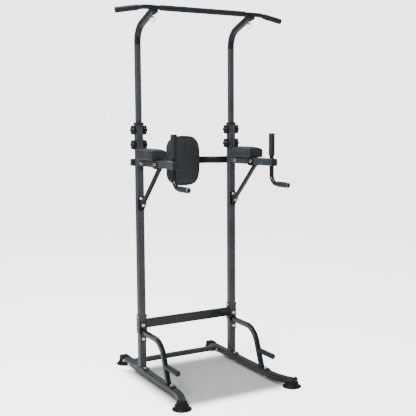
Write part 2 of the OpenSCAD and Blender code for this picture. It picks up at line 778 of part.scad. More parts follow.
// Screw from below into the bar, and the nut on top of each eye bolt.
module bar_bolts() placed(plastic) for (side = [LEFT, RIGHT]) translate([side * half_span, 0, 0]) {
  translate([0, -bar_y, saddle_seat]) screw(saddle_wall + bar_wall + 6);
  translate([0, -eye_y, bar_z - 2]) difference() {
    union() {
      cylinder(d = 2 * eye_wire, h = 1);
      cylinder(d = 1.9 * eye_wire, h = eye_wire, $fn = 6);
    }
    translate([0, 0, -cut]) cylinder(d = eye_wire + grip_fit, h = eye_wire + 2 * cut);
  }
}

// ---------- hanging rings ----------

// Wire bolt whose lower end is bent round into a closed upright loop.
module ring_eyes() placed(chrome) for (side = [LEFT, RIGHT])
  translate([side * half_span, -eye_y, bar_z + eye_end]) down_turning_forward()
    sweep([[eye_end + eye_drop - eye_r, eye_r, 90], [eye_l, eye_r, 90],
           [eye_h - 2 * eye_r, eye_r, 90], [eye_l + eye_r, 0, 0]])
      circle(d = eye_wire);

module ring(side) placed(chrome) translate([side * half_span, -ring_y, ring_z]) along_back()
  rotate_extrude() translate([ring_r, 0]) circle(d = ring_wire, $fn = 24);

// ---------- locking knobs ----------

// Lobed knob with its screw, on the outer or inner face of an upright.
module knob(side, face, z) placed(plastic) on_side(side)
  translate([half_span, 0, z]) rotate([0, 90 * face, 0]) {
    tip = slide_w / 2 + stud_gap;
    neck = post_face + stud_gap;
    head = neck + knob_neck;
    translate([0, 0, tip]) cylinder(d = stud_d, h = head - tip + 1);
    translate([0, 0, neck]) cylinder(d1 = 2 * stud_d, d2 = 2.4 * stud_d, h = knob_neck);
    translate([0, 0, head]) intersection() {
      linear_extrude(knob_t + 2) difference() {
        circle(d = knob_d);
        for (i = [0 : knob_lobes - 1]) rotate(360 / knob_lobes * (i + 0.5))
          translate([knob_d / 2 + 3, 0]) circle(r = knob_d / 6);
      }
      rotate_extrude() polygon([
        [0, 0], [knob_d / 2 - 3, 0], [knob_d / 2, 3], [knob_d / 2, knob_t - 5], [knob_d / 2 - 2, knob_t - 2],
        [knob_d / 2 - 5, knob_t], [stud_d, knob_t], [stud_d - 1, knob_t + 2], [0, knob_t + 2]]);
    }
  }

// ---------- arms ----------

module arm(side) placed(steel) on_side(side) translate([half_span, 0, 0]) difference() {
  start = post_face + socket_t;
  translate([0, -start, arm_z]) along_front() linear_extrude(arm_reach - plug_t - start)
    box_section(arm_w, arm_w, post_corner, arm_wall);
  for (y = [socket_bolt_y, clip_y]) translate([-arm_w / 2, -y, arm_z]) along_x() hole(arm_w);
  translate([0, -dip_y, arm_under - cut]) cylinder(d = bar_d + 2 * grip_fit, h = arm_w + 2 * cut);
}

module arm_plug(side) placed(plastic) on_side(side) translate([half_span, plug_t - arm_reach, arm_z]) {
  inner = arm_w - 2 * arm_wall - 2 * bush_fit;
  along_front() linear_extrude(plug_t) rounded(arm_w, arm_w, post_corner);
  along_back() linear_extrude(2 * plug_t) rounded(inner, inner, post_corner - arm_wall);
}

// Cushion of x by y by t on z = 0, with upright corners of radius r and a rounded top edge.
module cushion(x, y, t, r) {
  edge = t / 3;
  hull() for (sx = [-1, 1], sy = [-1, 1]) translate([sx * (x / 2 - r), sy * (y / 2 - r), 0])
    rotate_extrude($fn = 32) polygon(concat(
      [[0, 0], [r - 2, 0], [r, 3]],
      [for (a = [0 : 22.5 : 90]) [max(0, r - edge) + min(r, edge) * cos(a), t - edge + edge * sin(a)]],
      [[0, t]]));
}

module arm_pad(side) placed(vinyl) on_side(side)
  translate([half_span + arm_pad_out, -arm_pad_y - arm_pad_l / 2, arm_top])
    cushion(arm_pad_w, arm_pad_l, arm_pad_h, arm_pad_corner);

// ---------- arm braces ----------

// Slanting square tube with the clip that holds the arm and the bracket on the upright.
module arm_brace(side) placed(steel) on_side(side) translate([half_span, 0, 0]) {
  plate_face = post_face + plate_t;
  length = (strut_reach - strut_end_y) / cos(strut_angle);
  difference() {
    translate([0, -strut_end_y, strut_end_z])
      rotate([90 - strut_angle, 0, 0]) linear_extrude(length + strut_w)
        box_section(strut_w, strut_w, 2.5, strut_wall);
    translate([-strut_w, -strut_reach - arm_w, clip_under]) cube([2 * strut_w, 2 * arm_w, 2 * arm_w]);
  }
  strut_clip();
  difference() {
    union() {
      translate([0, -post_face, strut_plate_z + strut_plate_h / 2]) along_front() linear_extrude(plate_t)
        rounded(post_w, strut_plate_h, post_corner);
      for (s = [-1, 1]) translate([s * (strut_w + socket_t) / 2, 0, 0]) across(socket_t) polygon([
        [-plate_face, strut_plate_z + ear_root[0]], [-strut_lip_y, strut_plate_z + ear_low],
        [-strut_lip_y - ear_bulge.x, strut_plate_z + ear_bulge.y],
        [-strut_lip_y + 2, strut_plate_z + ear_top], [-plate_face, strut_plate_z + ear_root[1]]]);
      translate([-strut_w / 2, -strut_lip_y, strut_plate_z + ear_low])
        cube([strut_w, plate_t, lip_h]);
    }
    for (z = strut_bolts_z) translate([0, -strut_lip_y, z]) along_back() hole(strut_lip_y);
  }
}

// U-shaped clip that takes the arm from below.
module strut_clip() difference() {
  cheek_x = arm_w / 2 + socket_fit;
  union() {
    translate([0, -clip_y, clip_under + socket_t / 2])
      cube([2 * cheek_x + 2 * socket_t, 2 * clip_r - 24, socket_t], center = true);
    for (s = [-1, 1]) translate([s * (cheek_x + socket_t / 2), 0, 0]) across(socket_t)
      translate([-clip_y, arm_z - 7]) rounded(2 * clip_r, arm_w, 12);
  }
  translate([-cheek_x - socket_t, -clip_y, arm_z]) along_x() hole(2 * cheek_x + 2 * socket_t);
}

module arm_bolts() placed(zinc) for (side = [LEFT, RIGHT]) translate([side * half_span, 0, 0]) {
  cheek = arm_w / 2 + socket_fit + socket_t;
  for (y = [socket_bolt_y, clip_y]) translate([-cheek, -y, arm_z]) along_x() bolt(2 * cheek);
  translate([0, -post_face - plate_t, strut_bolts_z[1]]) along_back() bolt(post_w + plate_t);
  translate([0, -strut_lip_y, strut_bolts_z[0]]) along_back() bolt(strut_lip_y + post_face);
}

// ---------- dip handles ----------

module dip_handle(side) placed(steel) on_side(side) translate([half_span, -dip_y, dip_top])
  down_turning_forward()
    bent_pipe(dip_top - dip_corner_z - dip_tangent, dip_r, dip_turn, dip_run - dip_tangent);

module dip_grip(side) placed(foam) on_side(side) translate([half_span, -dip_y, dip_top])
  along_down() grip(dip_grip_l, dip_grip_wall);

module lower_grip(side) placed(foam) on_side(side) translate([half_span, -dip_y, dip_corner_z])
  down_turning_forward() rotate([dip_turn, 0, 0]) translate([0, 0, dip_run])
    along_down() grip(low_grip_l, grip_wall);

// ---------- backrest ----------

// Plan of the crossbar's right half, at a distance behind its axis, from the middle to the end.
function bow_line(behind) = concat(
  [[0, cross_back + behind]],
  [for (a = [0 : bow_step : cross_turn])
    [cross_half, cross_back - cross_r] + (cross_r + behind) * [sin(a), cos(a)]],
  [for (a = [cross_turn : -bow_step : 0])
    [cross_half + cross_shift, cross_r] - (cross_r - behind) * [sin(a), cos(a)]],
  [[cross_end_x, behind]]);
function backwards(list) = [for (i = [len(list) - 1 : -1 : 0]) list[i]];

// Plan of a bar of this width along the whole bow, with its axis at the height of its own middle.
module bow(width, height) {
  half = concat(bow_line(width / 2), backwards(bow_line(-width / 2)));
  translate([0, cross_y, rest_z]) linear_extrude(height, center = true)
    polygon(concat(half, [for (p = backwards(half)) [-p.x, p.y]]));
}

// Bow-shaped square tube behind the uprights with the backrest's plate welded on its middle.
module backrest_crossbar() placed(steel) difference() {
  bore = cross_w - 2 * cross_wall;
  union() {
    difference() {
      bow(cross_w, cross_w);
      bow(bore, bore);
    }
    translate([0, plate_y, rest_z]) along_front() linear_extrude(plate_t)
      rounded(rest_plate_w, rest_plate_h, plate_corner);
  }
  for (side = [LEFT, RIGHT]) translate([side * half_span, post_face, rest_z]) along_back() hole(cross_w);
  for (sx = [-1, 1], sz = [-1, 1])
    translate([sx * rest_screws.x, rest_back, rest_z + sz * rest_screws.y]) along_back() hole(plate_t);
}

module crossbar_caps() placed(plastic)
  for (side = [LEFT, RIGHT]) on_side(side) translate([cross_end_x, cross_y, rest_z]) {
    inner = cross_w - 2 * cross_wall - 2 * bush_fit;
    along_x() linear_extrude(cross_cap) rounded(cross_w, cross_w, cap_corner);
    translate([-2 * cross_cap, 0, 0]) along_x() linear_extrude(2 * cross_cap)
      rounded(inner, inner, cap_corner);
  }

module backrest_board() placed(wood) difference() {
  translate([0, rest_back, rest_z]) along_front() linear_extrude(board_t)
    rounded(rest_w - 2 * board_inset, rest_h - 2 * board_inset, rest_corner - board_inset);
  for (sx = [-1, 1], sz = [-1, 1])
    translate([sx * rest_screws.x, rest_back - board_t + 2, rest_z + sz * rest_screws.y])
      along_back() cylinder(d = bolt_d + 2 * bolt_clear, h = board_t);
}

module backrest_pad() placed(vinyl) translate([0, rest_back - board_t, rest_z]) along_front()
  cushion(rest_w, rest_h, rest_t, rest_corner);

module backrest_bolts() placed(zinc) {
  for (side = [LEFT, RIGHT]) translate([side * half_span, post_face + cross_w, rest_z])
    along_front() screw(cross_w + post_face - slide_w / 2 - stud_gap);
  for (sx = [-1, 1], sz = [-1, 1])
    translate([sx * rest_screws.x, plate_y, rest_z + sz * rest_screws.y])
      along_front() screw(plate_t + board_t - 3);
}

// ---------- all pieces ----------

base_rail(LEFT);  // base_rail_left
base_rail(RIGHT);  // base_rail_right
foot(LEFT, front_foot, toe_angle, front_cap_l);  // foot_front_left
foot(RIGHT, front_foot, toe_angle, front_cap_l);  // foot_front_right
foot(LEFT, rear_foot, 180, rear_cap_l);  // foot_rear_left
foot(RIGHT, rear_foot, 180, rear_cap_l);  // foot_rear_right
rear_floor_bar();
base_bolts();
upright(LEFT);  // upright_left
upright(RIGHT);  // upright_right
sleeve_bush(LEFT);  // sleeve_bush_left
sleeve_bush(RIGHT);  // sleeve_bush_right
lower_crossbeam();
beam_backing_plates();
beam_bolts();
curved_brace(LEFT);  // curved_brace_left
curved_brace(RIGHT);  // curved_brace_right
push_up_grip(LEFT);  // push_up_grip_left
push_up_grip(RIGHT);  // push_up_grip_right
upper_tube(LEFT);  // upper_tube_left
upper_tube(RIGHT);  // upper_tube_right
curved_top_tube(LEFT);  // curved_top_tube_left
curved_top_tube(RIGHT);  // curved_top_tube_right
pull_up_bar();
bar_grip_centre();
bar_grip(LEFT);  // bar_grip_left
bar_grip(RIGHT);  // bar_grip_right
bar_bolts();
ring_eyes();
ring(LEFT);  // ring_left
ring(RIGHT);  // ring_right
arm(LEFT);  // arm_left
arm(RIGHT);  // arm_right
arm_plug(LEFT);  // arm_plug_left
arm_plug(RIGHT);  // arm_plug_right
arm_pad(LEFT);  // arm_pad_left
arm_pad(RIGHT);  // arm_pad_right
arm_brace(LEFT);  // arm_brace_left
arm_brace(RIGHT);  // arm_brace_right
dip_handle(LEFT);  // dip_handle_left
dip_handle(RIGHT);  // dip_handle_right
dip_grip(LEFT);  // dip_grip_left
dip_grip(RIGHT);  // dip_grip_right
lower_grip(LEFT);  // lower_grip_left
lower_grip(RIGHT);  // lower_grip_right
arm_bolts();
backrest_crossbar();
crossbar_caps();
backrest_board();
backrest_pad();
backrest_bolts();
knob(LEFT, OUT, knobs_z[0]);  // knob_left_outer_top
knob(LEFT, IN, knobs_z[0]);  // knob_left_inner_top
knob(LEFT, OUT, knobs_z[1]);  // knob_left_outer_low
knob(LEFT, IN, knobs_z[1]);  // knob_left_inner_low
knob(RIGHT, OUT, knobs_z[0]);  // knob_right_outer_top
knob(RIGHT, IN, knobs_z[0]);  // knob_right_inner_top
knob(RIGHT, OUT, knobs_z[1]);  // knob_right_outer_low
knob(RIGHT, IN, knobs_z[1]);  // knob_right_inner_low
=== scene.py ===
"""Power tower: the dressed look of a free-standing pull-up and dip stand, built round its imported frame."""

import json
import math

import bmesh
import bpy
import numpy as np
from mathutils import Matrix, Vector, kdtree
from mathutils.bvhtree import BVHTree


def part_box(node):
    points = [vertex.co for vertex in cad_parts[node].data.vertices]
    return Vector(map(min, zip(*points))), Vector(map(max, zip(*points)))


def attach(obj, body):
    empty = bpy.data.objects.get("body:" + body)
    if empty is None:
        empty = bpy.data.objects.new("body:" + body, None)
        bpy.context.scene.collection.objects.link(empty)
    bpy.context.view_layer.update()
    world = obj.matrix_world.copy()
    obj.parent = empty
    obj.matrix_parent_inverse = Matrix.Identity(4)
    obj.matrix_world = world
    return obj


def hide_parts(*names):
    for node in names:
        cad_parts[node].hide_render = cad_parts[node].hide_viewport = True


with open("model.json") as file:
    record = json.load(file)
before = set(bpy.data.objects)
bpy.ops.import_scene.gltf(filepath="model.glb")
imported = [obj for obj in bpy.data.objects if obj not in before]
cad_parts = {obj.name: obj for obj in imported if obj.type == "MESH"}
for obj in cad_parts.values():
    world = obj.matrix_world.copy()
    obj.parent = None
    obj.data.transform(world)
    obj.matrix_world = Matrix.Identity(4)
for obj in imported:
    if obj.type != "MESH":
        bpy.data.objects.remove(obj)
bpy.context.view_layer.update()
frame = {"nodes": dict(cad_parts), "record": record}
NODES = frame["nodes"]
SIDES = {"left": -1, "right": 1}
upright_low, upright_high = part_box("upright_right")
upright_x, upright_y = (upright_low.x + upright_high.x) / 2, (upright_low.y + upright_high.y) / 2


# ---------------------------------------------------------------- materials


class Finish:
    """A material of the tower, with its nodes laid out as they are added."""

    def __init__(self, name, colour, roughness, metallic=0.0, coat=0.0, sheen=0.0, specular=0.5):
        self.material = bpy.data.materials.new(name)
        self.material.use_nodes = True
        self.tree = self.material.node_tree
        self.shader = self.tree.nodes["Principled BSDF"]
        self.place = self.node("ShaderNodeTexCoord")
        self.set(self.shader, {"Base Color": (*colour, 1.0), "Roughness": roughness, "Metallic": metallic,
                               "Coat Weight": coat, "Sheen Weight": sheen, "Specular IOR Level": specular})

    def set(self, node, values):
        for socket, value in values.items():
            node.inputs[socket].default_value = value
        return node

    def node(self, kind, values=None, **settings):
        made = self.tree.nodes.new(kind)
        for name, value in settings.items():
            setattr(made, name, value)
        return self.set(made, values or {})

    def link(self, source, target):
        self.tree.links.new(source, target)

    def mapped(self, *scale):
        """Object coordinates in metres, stretched along a grain."""
        mapping = self.node("ShaderNodeMapping", {"Scale": scale})
        self.link(self.place.outputs["Object"], mapping.inputs["Vector"])
        return mapping.outputs["Vector"]

    def noise(self, scale, detail, roughness, vector=None):
        made = self.node("ShaderNodeTexNoise", {"Scale": scale, "Detail": detail, "Roughness": roughness})
        self.link(vector or self.place.outputs["Object"], made.inputs["Vector"])
        return made.outputs["Fac"]

    def cells(self, scale, feature="F1"):
        made = self.node("ShaderNodeTexVoronoi", {"Scale": scale}, feature=feature)
        self.link(self.place.outputs["Object"], made.inputs["Vector"])
        return made.outputs["Distance"]

    def range(self, value, low, high, to_low=0.0, to_high=1.0):
        made = self.node("ShaderNodeMapRange", {"From Min": low, "From Max": high,
                                                "To Min": to_low, "To Max": to_high})
        self.link(value, made.inputs["Value"])
        return made.outputs["Result"]

    def soft_range(self, value, low, high):
        """0 to 1 between low and high, easing in and out."""
        made = self.node("ShaderNodeMapRange", {"From Min": low, "From Max": high},
                         interpolation_type="SMOOTHERSTEP")
        self.link(value, made.inputs["Value"])
        return made.outputs["Result"]

    def maths(self, operation, first, second):
        made = self.node("ShaderNodeMath", operation=operation)
        for socket, value in zip(made.inputs, (first, second)):
            if isinstance(value, (int, float)):
                socket.default_value = value
            else:
                self.link(value, socket)
        return made.outputs["Value"]

    def mix(self, factor, dark, light):
        """Colours from dark to light by a factor; a colour may be another mix."""
        made = self.node("ShaderNodeMix", data_type="RGBA")
        self.link(factor, made.inputs["Factor"])
        for name, colour in (("A", dark), ("B", light)):
            socket = [s for s in made.inputs if s.name == name and s.type == "RGBA"][0]
            if isinstance(colour, tuple):
                socket.default_value = (*colour, 1.0)
            else:
                self.link(colour, socket)
        return [s for s in made.outputs if s.type == "RGBA"][0]

    def colour(self, output):
        self.link(output, self.shader.inputs["Base Color"])

    def roughness(self, output):
        self.link(output, self.shader.inputs["Roughness"])

    def bump(self, height, distance, strength, under=None):
        made = self.node("ShaderNodeBump", {"Distance": distance, "Strength": strength})
        self.link(height, made.inputs["Height"])
        if under is not None:
            self.link(under, made.inputs["Normal"])
        self.link(made.outputs["Normal"], self.shader.inputs["Normal"])
        return made.outputs["Normal"]


def powder_coat(name, dark, light, gloss):
    """Powder coat: orange peel, a faint mottle, fine pale specks and a few rubbed, duller places."""
    f = Finish(name, dark, gloss, coat=0.08, specular=0.4)
    mottle = f.noise(9.0, 4.0, 0.6)
    speck = f.noise(620.0, 2.0, 0.7)
    tone = f.mix(f.range(mottle, 0.35, 0.68), dark, light)
    f.colour(f.mix(f.range(speck, 0.62, 0.78, 0.0, 0.30), tone, tuple(2.4 * c for c in light)))
    rubbed = f.noise(34.0, 5.0, 0.62)
    f.roughness(f.range(rubbed, 0.30, 0.75, gloss - 0.06, gloss + 0.09))
    f.bump(f.noise(750.0, 3.0, 0.55), 0.00022, 0.32)
    return f.material


def moulded_plastic(name, colour, gloss):
    """Moulded black plastic with a fine spark texture and faint flow marks."""
    f = Finish(name, colour, gloss, specular=0.5)
    flow = f.noise(28.0, 3.0, 0.55, f.mapped(1.0, 1.0, 0.35))
    light = tuple(c * 1.9 for c in colour)
    f.colour(f.mix(f.range(flow, 0.3, 0.75), colour, light))
    f.roughness(f.range(flow, 0.3, 0.7, gloss - 0.06, gloss + 0.08))
    f.bump(f.cells(1500.0), 0.00010, 0.22)
    return f.material


def foot_rubber():
    """Matt moulded rubber with bloom in its hollows and scuffs low down."""
    f = Finish("moulded_foot_rubber", (0.004, 0.004, 0.005), 0.50, specular=0.22)
    bloom = f.noise(46.0, 5.0, 0.65)
    scuff = f.noise(190.0, 4.0, 0.7, f.mapped(1.0, 1.0, 3.0))
    tone = f.mix(f.range(bloom, 0.35, 0.72), (0.0025, 0.0028, 0.0034), (0.0060, 0.0066, 0.0078))
    f.colour(f.mix(f.range(scuff, 0.60, 0.80, 0.0, 0.35), tone, (0.026, 0.028, 0.030)))
    f.roughness(f.range(bloom, 0.3, 0.75, 0.42, 0.62))
    f.bump(f.noise(900.0, 3.0, 0.6), 0.00018, 0.35)
    return f.material


def foam_rubber():
    """Closed-cell foam of the grips: fine open pores, with painted shade darkening their pits, over a soft, slightly
    uneven skin.
    """
    f = Finish("closed_cell_foam", (0.006, 0.007, 0.008), 0.52, sheen=0.04, specular=0.40)
    pores = f.cells(1150.0)
    swell = f.noise(120.0, 3.0, 0.6)
    tone = f.mix(f.range(swell, 0.3, 0.7), (0.0045, 0.0052, 0.0064), (0.0105, 0.0118, 0.0138))
    # painted shade: each pore's pit, where the bump dips, is coloured darker
    f.colour(f.mix(f.range(pores, 0.0, 0.32), (0.0025, 0.0028, 0.0034), tone))
    f.roughness(f.range(swell, 0.3, 0.7, 0.42, 0.58))
    skin = f.bump(swell, 0.0006, 0.25)
    f.bump(f.range(pores, 0.0, 0.4), 0.00035, 0.5, skin)
    return f.material


def grained_vinyl():
    """Upholstery vinyl: pebbled leather grain with creases, painted shade darkening the grain's hollows, and a soft
    sheen on the crowns.
    """
    f = Finish("grained_black_vinyl", (0.014, 0.016, 0.018), 0.42, sheen=0.03, specular=0.35)
    pebble = f.cells(520.0, "SMOOTH_F1")
    crease = f.cells(165.0, "DISTANCE_TO_EDGE")
    cloud = f.noise(14.0, 4.0, 0.6)
    tone = f.mix(f.range(cloud, 0.32, 0.7), (0.018, 0.0200, 0.0230), (0.029, 0.0320, 0.0365))
    # painted shade: the pebbled grain is coloured darker in its hollows, where the bump dips
    f.colour(f.mix(f.range(pebble, 0.05, 0.5), (0.0085, 0.0094, 0.0110), tone))
    f.roughness(f.range(pebble, 0.0, 0.6, 0.58, 0.40))
    folds = f.bump(f.range(crease, 0.0, 0.05), 0.00035, 0.35)
    f.bump(pebble, 0.00060, 0.55, folds)
    return f.material


def plywood():
    """Backing board, stained black: long grain with a few paler streaks."""
    f = Finish("stained_plywood", (0.030, 0.026, 0.023), 0.62, specular=0.3)
    grain = f.noise(24.0, 6.0, 0.62, f.mapped(16.0, 16.0, 0.9))
    streak = f.noise(5.0, 3.0, 0.6, f.mapped(9.0, 9.0, 0.5))
    tone = f.mix(f.range(grain, 0.3, 0.72), (0.020, 0.017, 0.015), (0.042, 0.036, 0.031))
    f.colour(f.mix(f.range(streak, 0.55, 0.75, 0.0, 0.6), tone, (0.080, 0.062, 0.046)))
    f.roughness(f.range(grain, 0.3, 0.7, 0.52, 0.74))
    f.bump(grain, 0.0003, 0.4)
    return f.material


def bright_zinc():
    """Zinc-plated fastener steel: rolled streaks, small spangle and a light blue cast."""
    f = Finish("bright_zinc", (0.66, 0.68, 0.70), 0.26, metallic=1.0)
    spangle = f.cells(420.0)
    streak = f.noise(300.0, 3.0, 0.6, f.mapped(1.0, 0.25, 1.0))
    tone = f.mix(f.range(spangle, 0.0, 0.6), (0.60, 0.62, 0.65), (0.78, 0.79, 0.80))
    f.colour(f.mix(f.range(streak, 0.55, 0.8, 0.0, 0.5), tone, (0.46, 0.48, 0.50)))
    f.roughness(f.range(streak, 0.3, 0.75, 0.20, 0.38))
    f.bump(streak, 0.00012, 0.3)
    return f.material


def polished_chrome():
    """Chromed wire with faint draw lines and a little handling haze."""
    f = Finish("polished_chrome", (0.83, 0.84, 0.85), 0.09, metallic=1.0)
    haze = f.noise(160.0, 4.0, 0.6)
    f.colour(f.mix(f.range(haze, 0.35, 0.7), (0.78, 0.79, 0.80), (0.88, 0.89, 0.90)))
    f.roughness(f.range(haze, 0.35, 0.75, 0.06, 0.20))
    f.bump(f.noise(520.0, 2.0, 0.5), 0.00006, 0.2)
    return f.material


COAT = powder_coat("charcoal_powder_coat", (0.030, 0.0340, 0.0400), (0.045, 0.0510, 0.0600), 0.38)
DARK_COAT = powder_coat("black_powder_coat", (0.0055, 0.0066, 0.0084), (0.0095, 0.0112, 0.0140), 0.24)
DARK_NODES = ("curved_top_tube", "pull_up_bar", "curved_brace", "backrest_crossbar", "dip_handle",
              "lower_crossbeam", "arm_brace", "base_rail")
PLASTIC = moulded_plastic("bush_and_cap_plastic", (0.008, 0.0088, 0.0100), 0.40)
KNOB_PLASTIC = moulded_plastic("glossy_knob_plastic", (0.0035, 0.0040, 0.0048), 0.20)
RUBBER = foot_rubber()
FOAM = foam_rubber()
VINYL = grained_vinyl()
BOARD = plywood()
ZINC = bright_zinc()
CHROME = polished_chrome()
BY_SLOT = {"frame_steel": COAT, "black_plastic": PLASTIC, "black_rubber": RUBBER, "foam_grip": FOAM,
           "black_vinyl": VINYL, "board_wood": BOARD, "zinc_steel": ZINC, "chrome_wire": CHROME}
SLOT_OF = {part["node"]: part["material_slot"] for part in frame["record"]["subparts"]}
BODY_OF = {node: body for body, members in frame["record"]["behaviour"]["bodies"].items() for node in members}

for name, node in NODES.items():
    node.data.materials.clear()
    node.data.materials.append(DARK_COAT if name.startswith(DARK_NODES) else BY_SLOT[SLOT_OF[name]])


# ---------------------------------------------------------------- making pieces


def smooth(mesh, degrees):
    """Smooth shading, with hard edges where faces meet at more than this angle."""
    mesh.shade_smooth()
    bm = bmesh.new()
    bm.from_mesh(mesh)
    for edge in bm.edges:
        edge.smooth = not (edge.is_manifold and edge.calc_face_angle(0.0) > math.radians(degrees))
    bm.to_mesh(mesh)
    bm.free()


def fitted(name, bm, material, body, *replaced, hard=35.0):
    """A finished piece from a bmesh: closed, normals outwards, at the origin, riding on its body."""
    bmesh.ops.remove_doubles(bm, verts=bm.verts, dist=1e-6)
    bmesh.ops.recalc_face_normals(bm, faces=bm.faces)
    mesh = bpy.data.meshes.new(name)
    bm.to_mesh(mesh)
    bm.free()
    smooth(mesh, hard)
    mesh.materials.append(material)
    piece = bpy.data.objects.new(name, mesh)
    bpy.context.scene.collection.objects.link(piece)
    return settled(piece, body, *replaced)


def settled(piece, body, *replaced):
    """Puts a piece on its body, in place of the CAD nodes that it stands for."""
    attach(piece, body)
    if replaced:
        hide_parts(*replaced)
    return piece


def across_to(direction):
    """Matrix that turns +Z to this direction."""
    return Vector(direction).to_track_quat("Z", "Y").to_matrix().to_4x4()


def lathe(bm, profile, base, direction, steps):
    """Turns a closed outline of (radius, height) points about the axis that starts at base."""
    turn = Matrix.Translation(base) @ across_to(direction)
    rings = []
    for radius, height in profile:
        if radius < 1e-7:
            rings.append([bm.verts.new(turn @ Vector((0.0, 0.0, height)))])
        else:
            rings.append([bm.verts.new(turn @ Vector((radius * math.cos(a), radius * math.sin(a), height)))
                          for a in (2 * math.pi * i / steps for i in range(steps))])
    bridge(bm, rings)


def bridge(bm, rings, closed=False):
    """Faces between one ring of vertices and the next; a ring of one vertex is a pole."""
    pairs = list(zip(rings, rings[1:])) + ([(rings[-1], rings[0])] if closed else [])
    for low, high in pairs:
        count = max(len(low), len(high))
        for i in range(count):
            j = (i + 1) % count
            corners = [low[i % len(low)], low[j % len(low)], high[j % len(high)], high[i % len(high)]]
            face = list(dict.fromkeys(corners))
            if len(face) > 2:
                bm.faces.new(face)


def rounded_section(width, height, radius, steps):
    """Outline of a tube with round corners, as (x, y) points."""
    points = []
    for sx, sy, start in ((1, 1, 0), (-1, 1, 90), (-1, -1, 180), (1, -1, 270)):
        for k in range(steps + 1):
            a = math.radians(start + 90.0 * k / steps)
            points.append((sx * (width / 2 - radius) + radius * math.cos(a),
                           sy * (height / 2 - radius) + radius * math.sin(a)))
    return points


def islands(node):
    """The separate solids of a CAD node, as lists of points."""
    bm = bmesh.new()
    bm.from_mesh(NODES[node].data)
    bmesh.ops.remove_doubles(bm, verts=bm.verts, dist=1e-6)
    seen, groups = set(), []
    for first in bm.verts:
        if first in seen:
            continue
        stack, group = [first], []
        seen.add(first)
        while stack:
            vert = stack.pop()
            group.append(vert.co.copy())
            for edge in vert.link_edges:
                other = edge.other_vert(vert)
                if other not in seen:
                    seen.add(other)
                    stack.append(other)
        groups.append(group)
    bm.free()
    return groups


def turned_axis(node):
    """(one end, direction, length, radius) of a turned CAD node, the direction being its longest way."""
    points = np.array([tuple(p) for p in islands(node)[0]])
    centre = points.mean(0)
    direction = np.linalg.svd(points - centre, full_matrices=False)[2][0]
    along = (points - centre) @ direction
    start = centre + direction * along.min()
    radius = np.linalg.norm((points - centre) - np.outer(along, direction), axis=1).max()
    return Vector(start), Vector(direction), float(along.max() - along.min()), float(radius)


# ---------------------------------------------------------------- foam grips


GRIP_BORE = 0.0127      # just over the tube's own radius
GRIP_SHY = 0.0003       # how far a grip's outer end stays back from the end of its CAD solid
GRIP_STEPS = 56


def foam_grip(node, body, plug_radius=0.0085):
    """A foam sleeve with a soft shoulder at its mouth, and a rounded outer end with a recessed plug."""
    start, way, length, radius = turned_axis(node)
    outwards = Vector((math.copysign(1.0, start.x), -1.0, 1.0))
    if way.dot(outwards) < 0:
        start, way = start + way * length, -way
    length -= GRIP_SHY
    soft, cap, plain = 0.0028, 0.004, 0.006
    bm = bmesh.new()
    outline = [(0.0, length - cap), (GRIP_BORE, length - cap), (GRIP_BORE, 0.0002), (radius - soft, 0.0)]
    outline += [(radius - soft + soft * math.sin(a), soft - soft * math.cos(a))
                for a in (math.radians(d) for d in (20, 40, 60, 80))]
    outline += [(radius, plain + (length - 2 * plain) * k / 8) for k in range(9)]
    outline += [(radius - soft + soft * math.cos(a), length - soft + soft * math.sin(a))
                for a in (math.radians(d) for d in (15, 35, 55, 75, 90))]
    outline += [(plug_radius + 0.0012, length), (plug_radius + 0.0004, length - 0.0006),
                (plug_radius, length - 0.0018), (plug_radius - 0.001, length - 0.0018), (0.0, length - 0.0014)]
    lathe(bm, outline, start, way, GRIP_STEPS)
    fitted(f"{node}_foam", bm, FOAM, body, node)


def centre_grip(node, body):
    """The long sleeve of the pull-up bar, open at both ends, with a soft shoulder at each."""
    start, way, length, radius = turned_axis(node)
    soft = 0.0026
    outline = [(GRIP_BORE, 0.0), (radius - soft, 0.0)]
    outline += [(radius - soft + soft * math.sin(a), soft - soft * math.cos(a))
                for a in (math.radians(d) for d in (25, 50, 75, 90))]
    outline += [(radius, soft + (length - 2 * soft) * k / 12) for k in range(1, 12)]
    outline += [(radius - soft + soft * math.cos(a), length - soft + soft * math.sin(a))
                for a in (math.radians(d) for d in (0, 25, 50, 75, 90))]
    outline += [(GRIP_BORE, length), (GRIP_BORE, 0.0)]
    bm = bmesh.new()
    lathe(bm, outline, start, way, GRIP_STEPS)
    fitted(f"{node}_foam", bm, FOAM, body, node)


centre_grip("bar_grip_centre", "top_frame")
for side in SIDES:
    foam_grip(f"bar_grip_{side}", "top_frame")
    foam_grip(f"dip_grip_{side}", "frame", 0.0095)
    foam_grip(f"lower_grip_{side}", "frame")
    foam_grip(f"push_up_grip_{side}", "frame")


# ---------------------------------------------------------------- locking knobs


def soft_least(a, b, blend):
    """The smaller of two lengths, with the corner between them rounded off."""
    h = max(blend - abs(a - b), 0.0) / blend
    return min(a, b) - h * h * blend / 4


KNOB_RADIUS, KNOB_DEPTH = 0.028, 0.021      # over the lobes; from the neck's end to the hub's face
KNOB_STEPS = 96


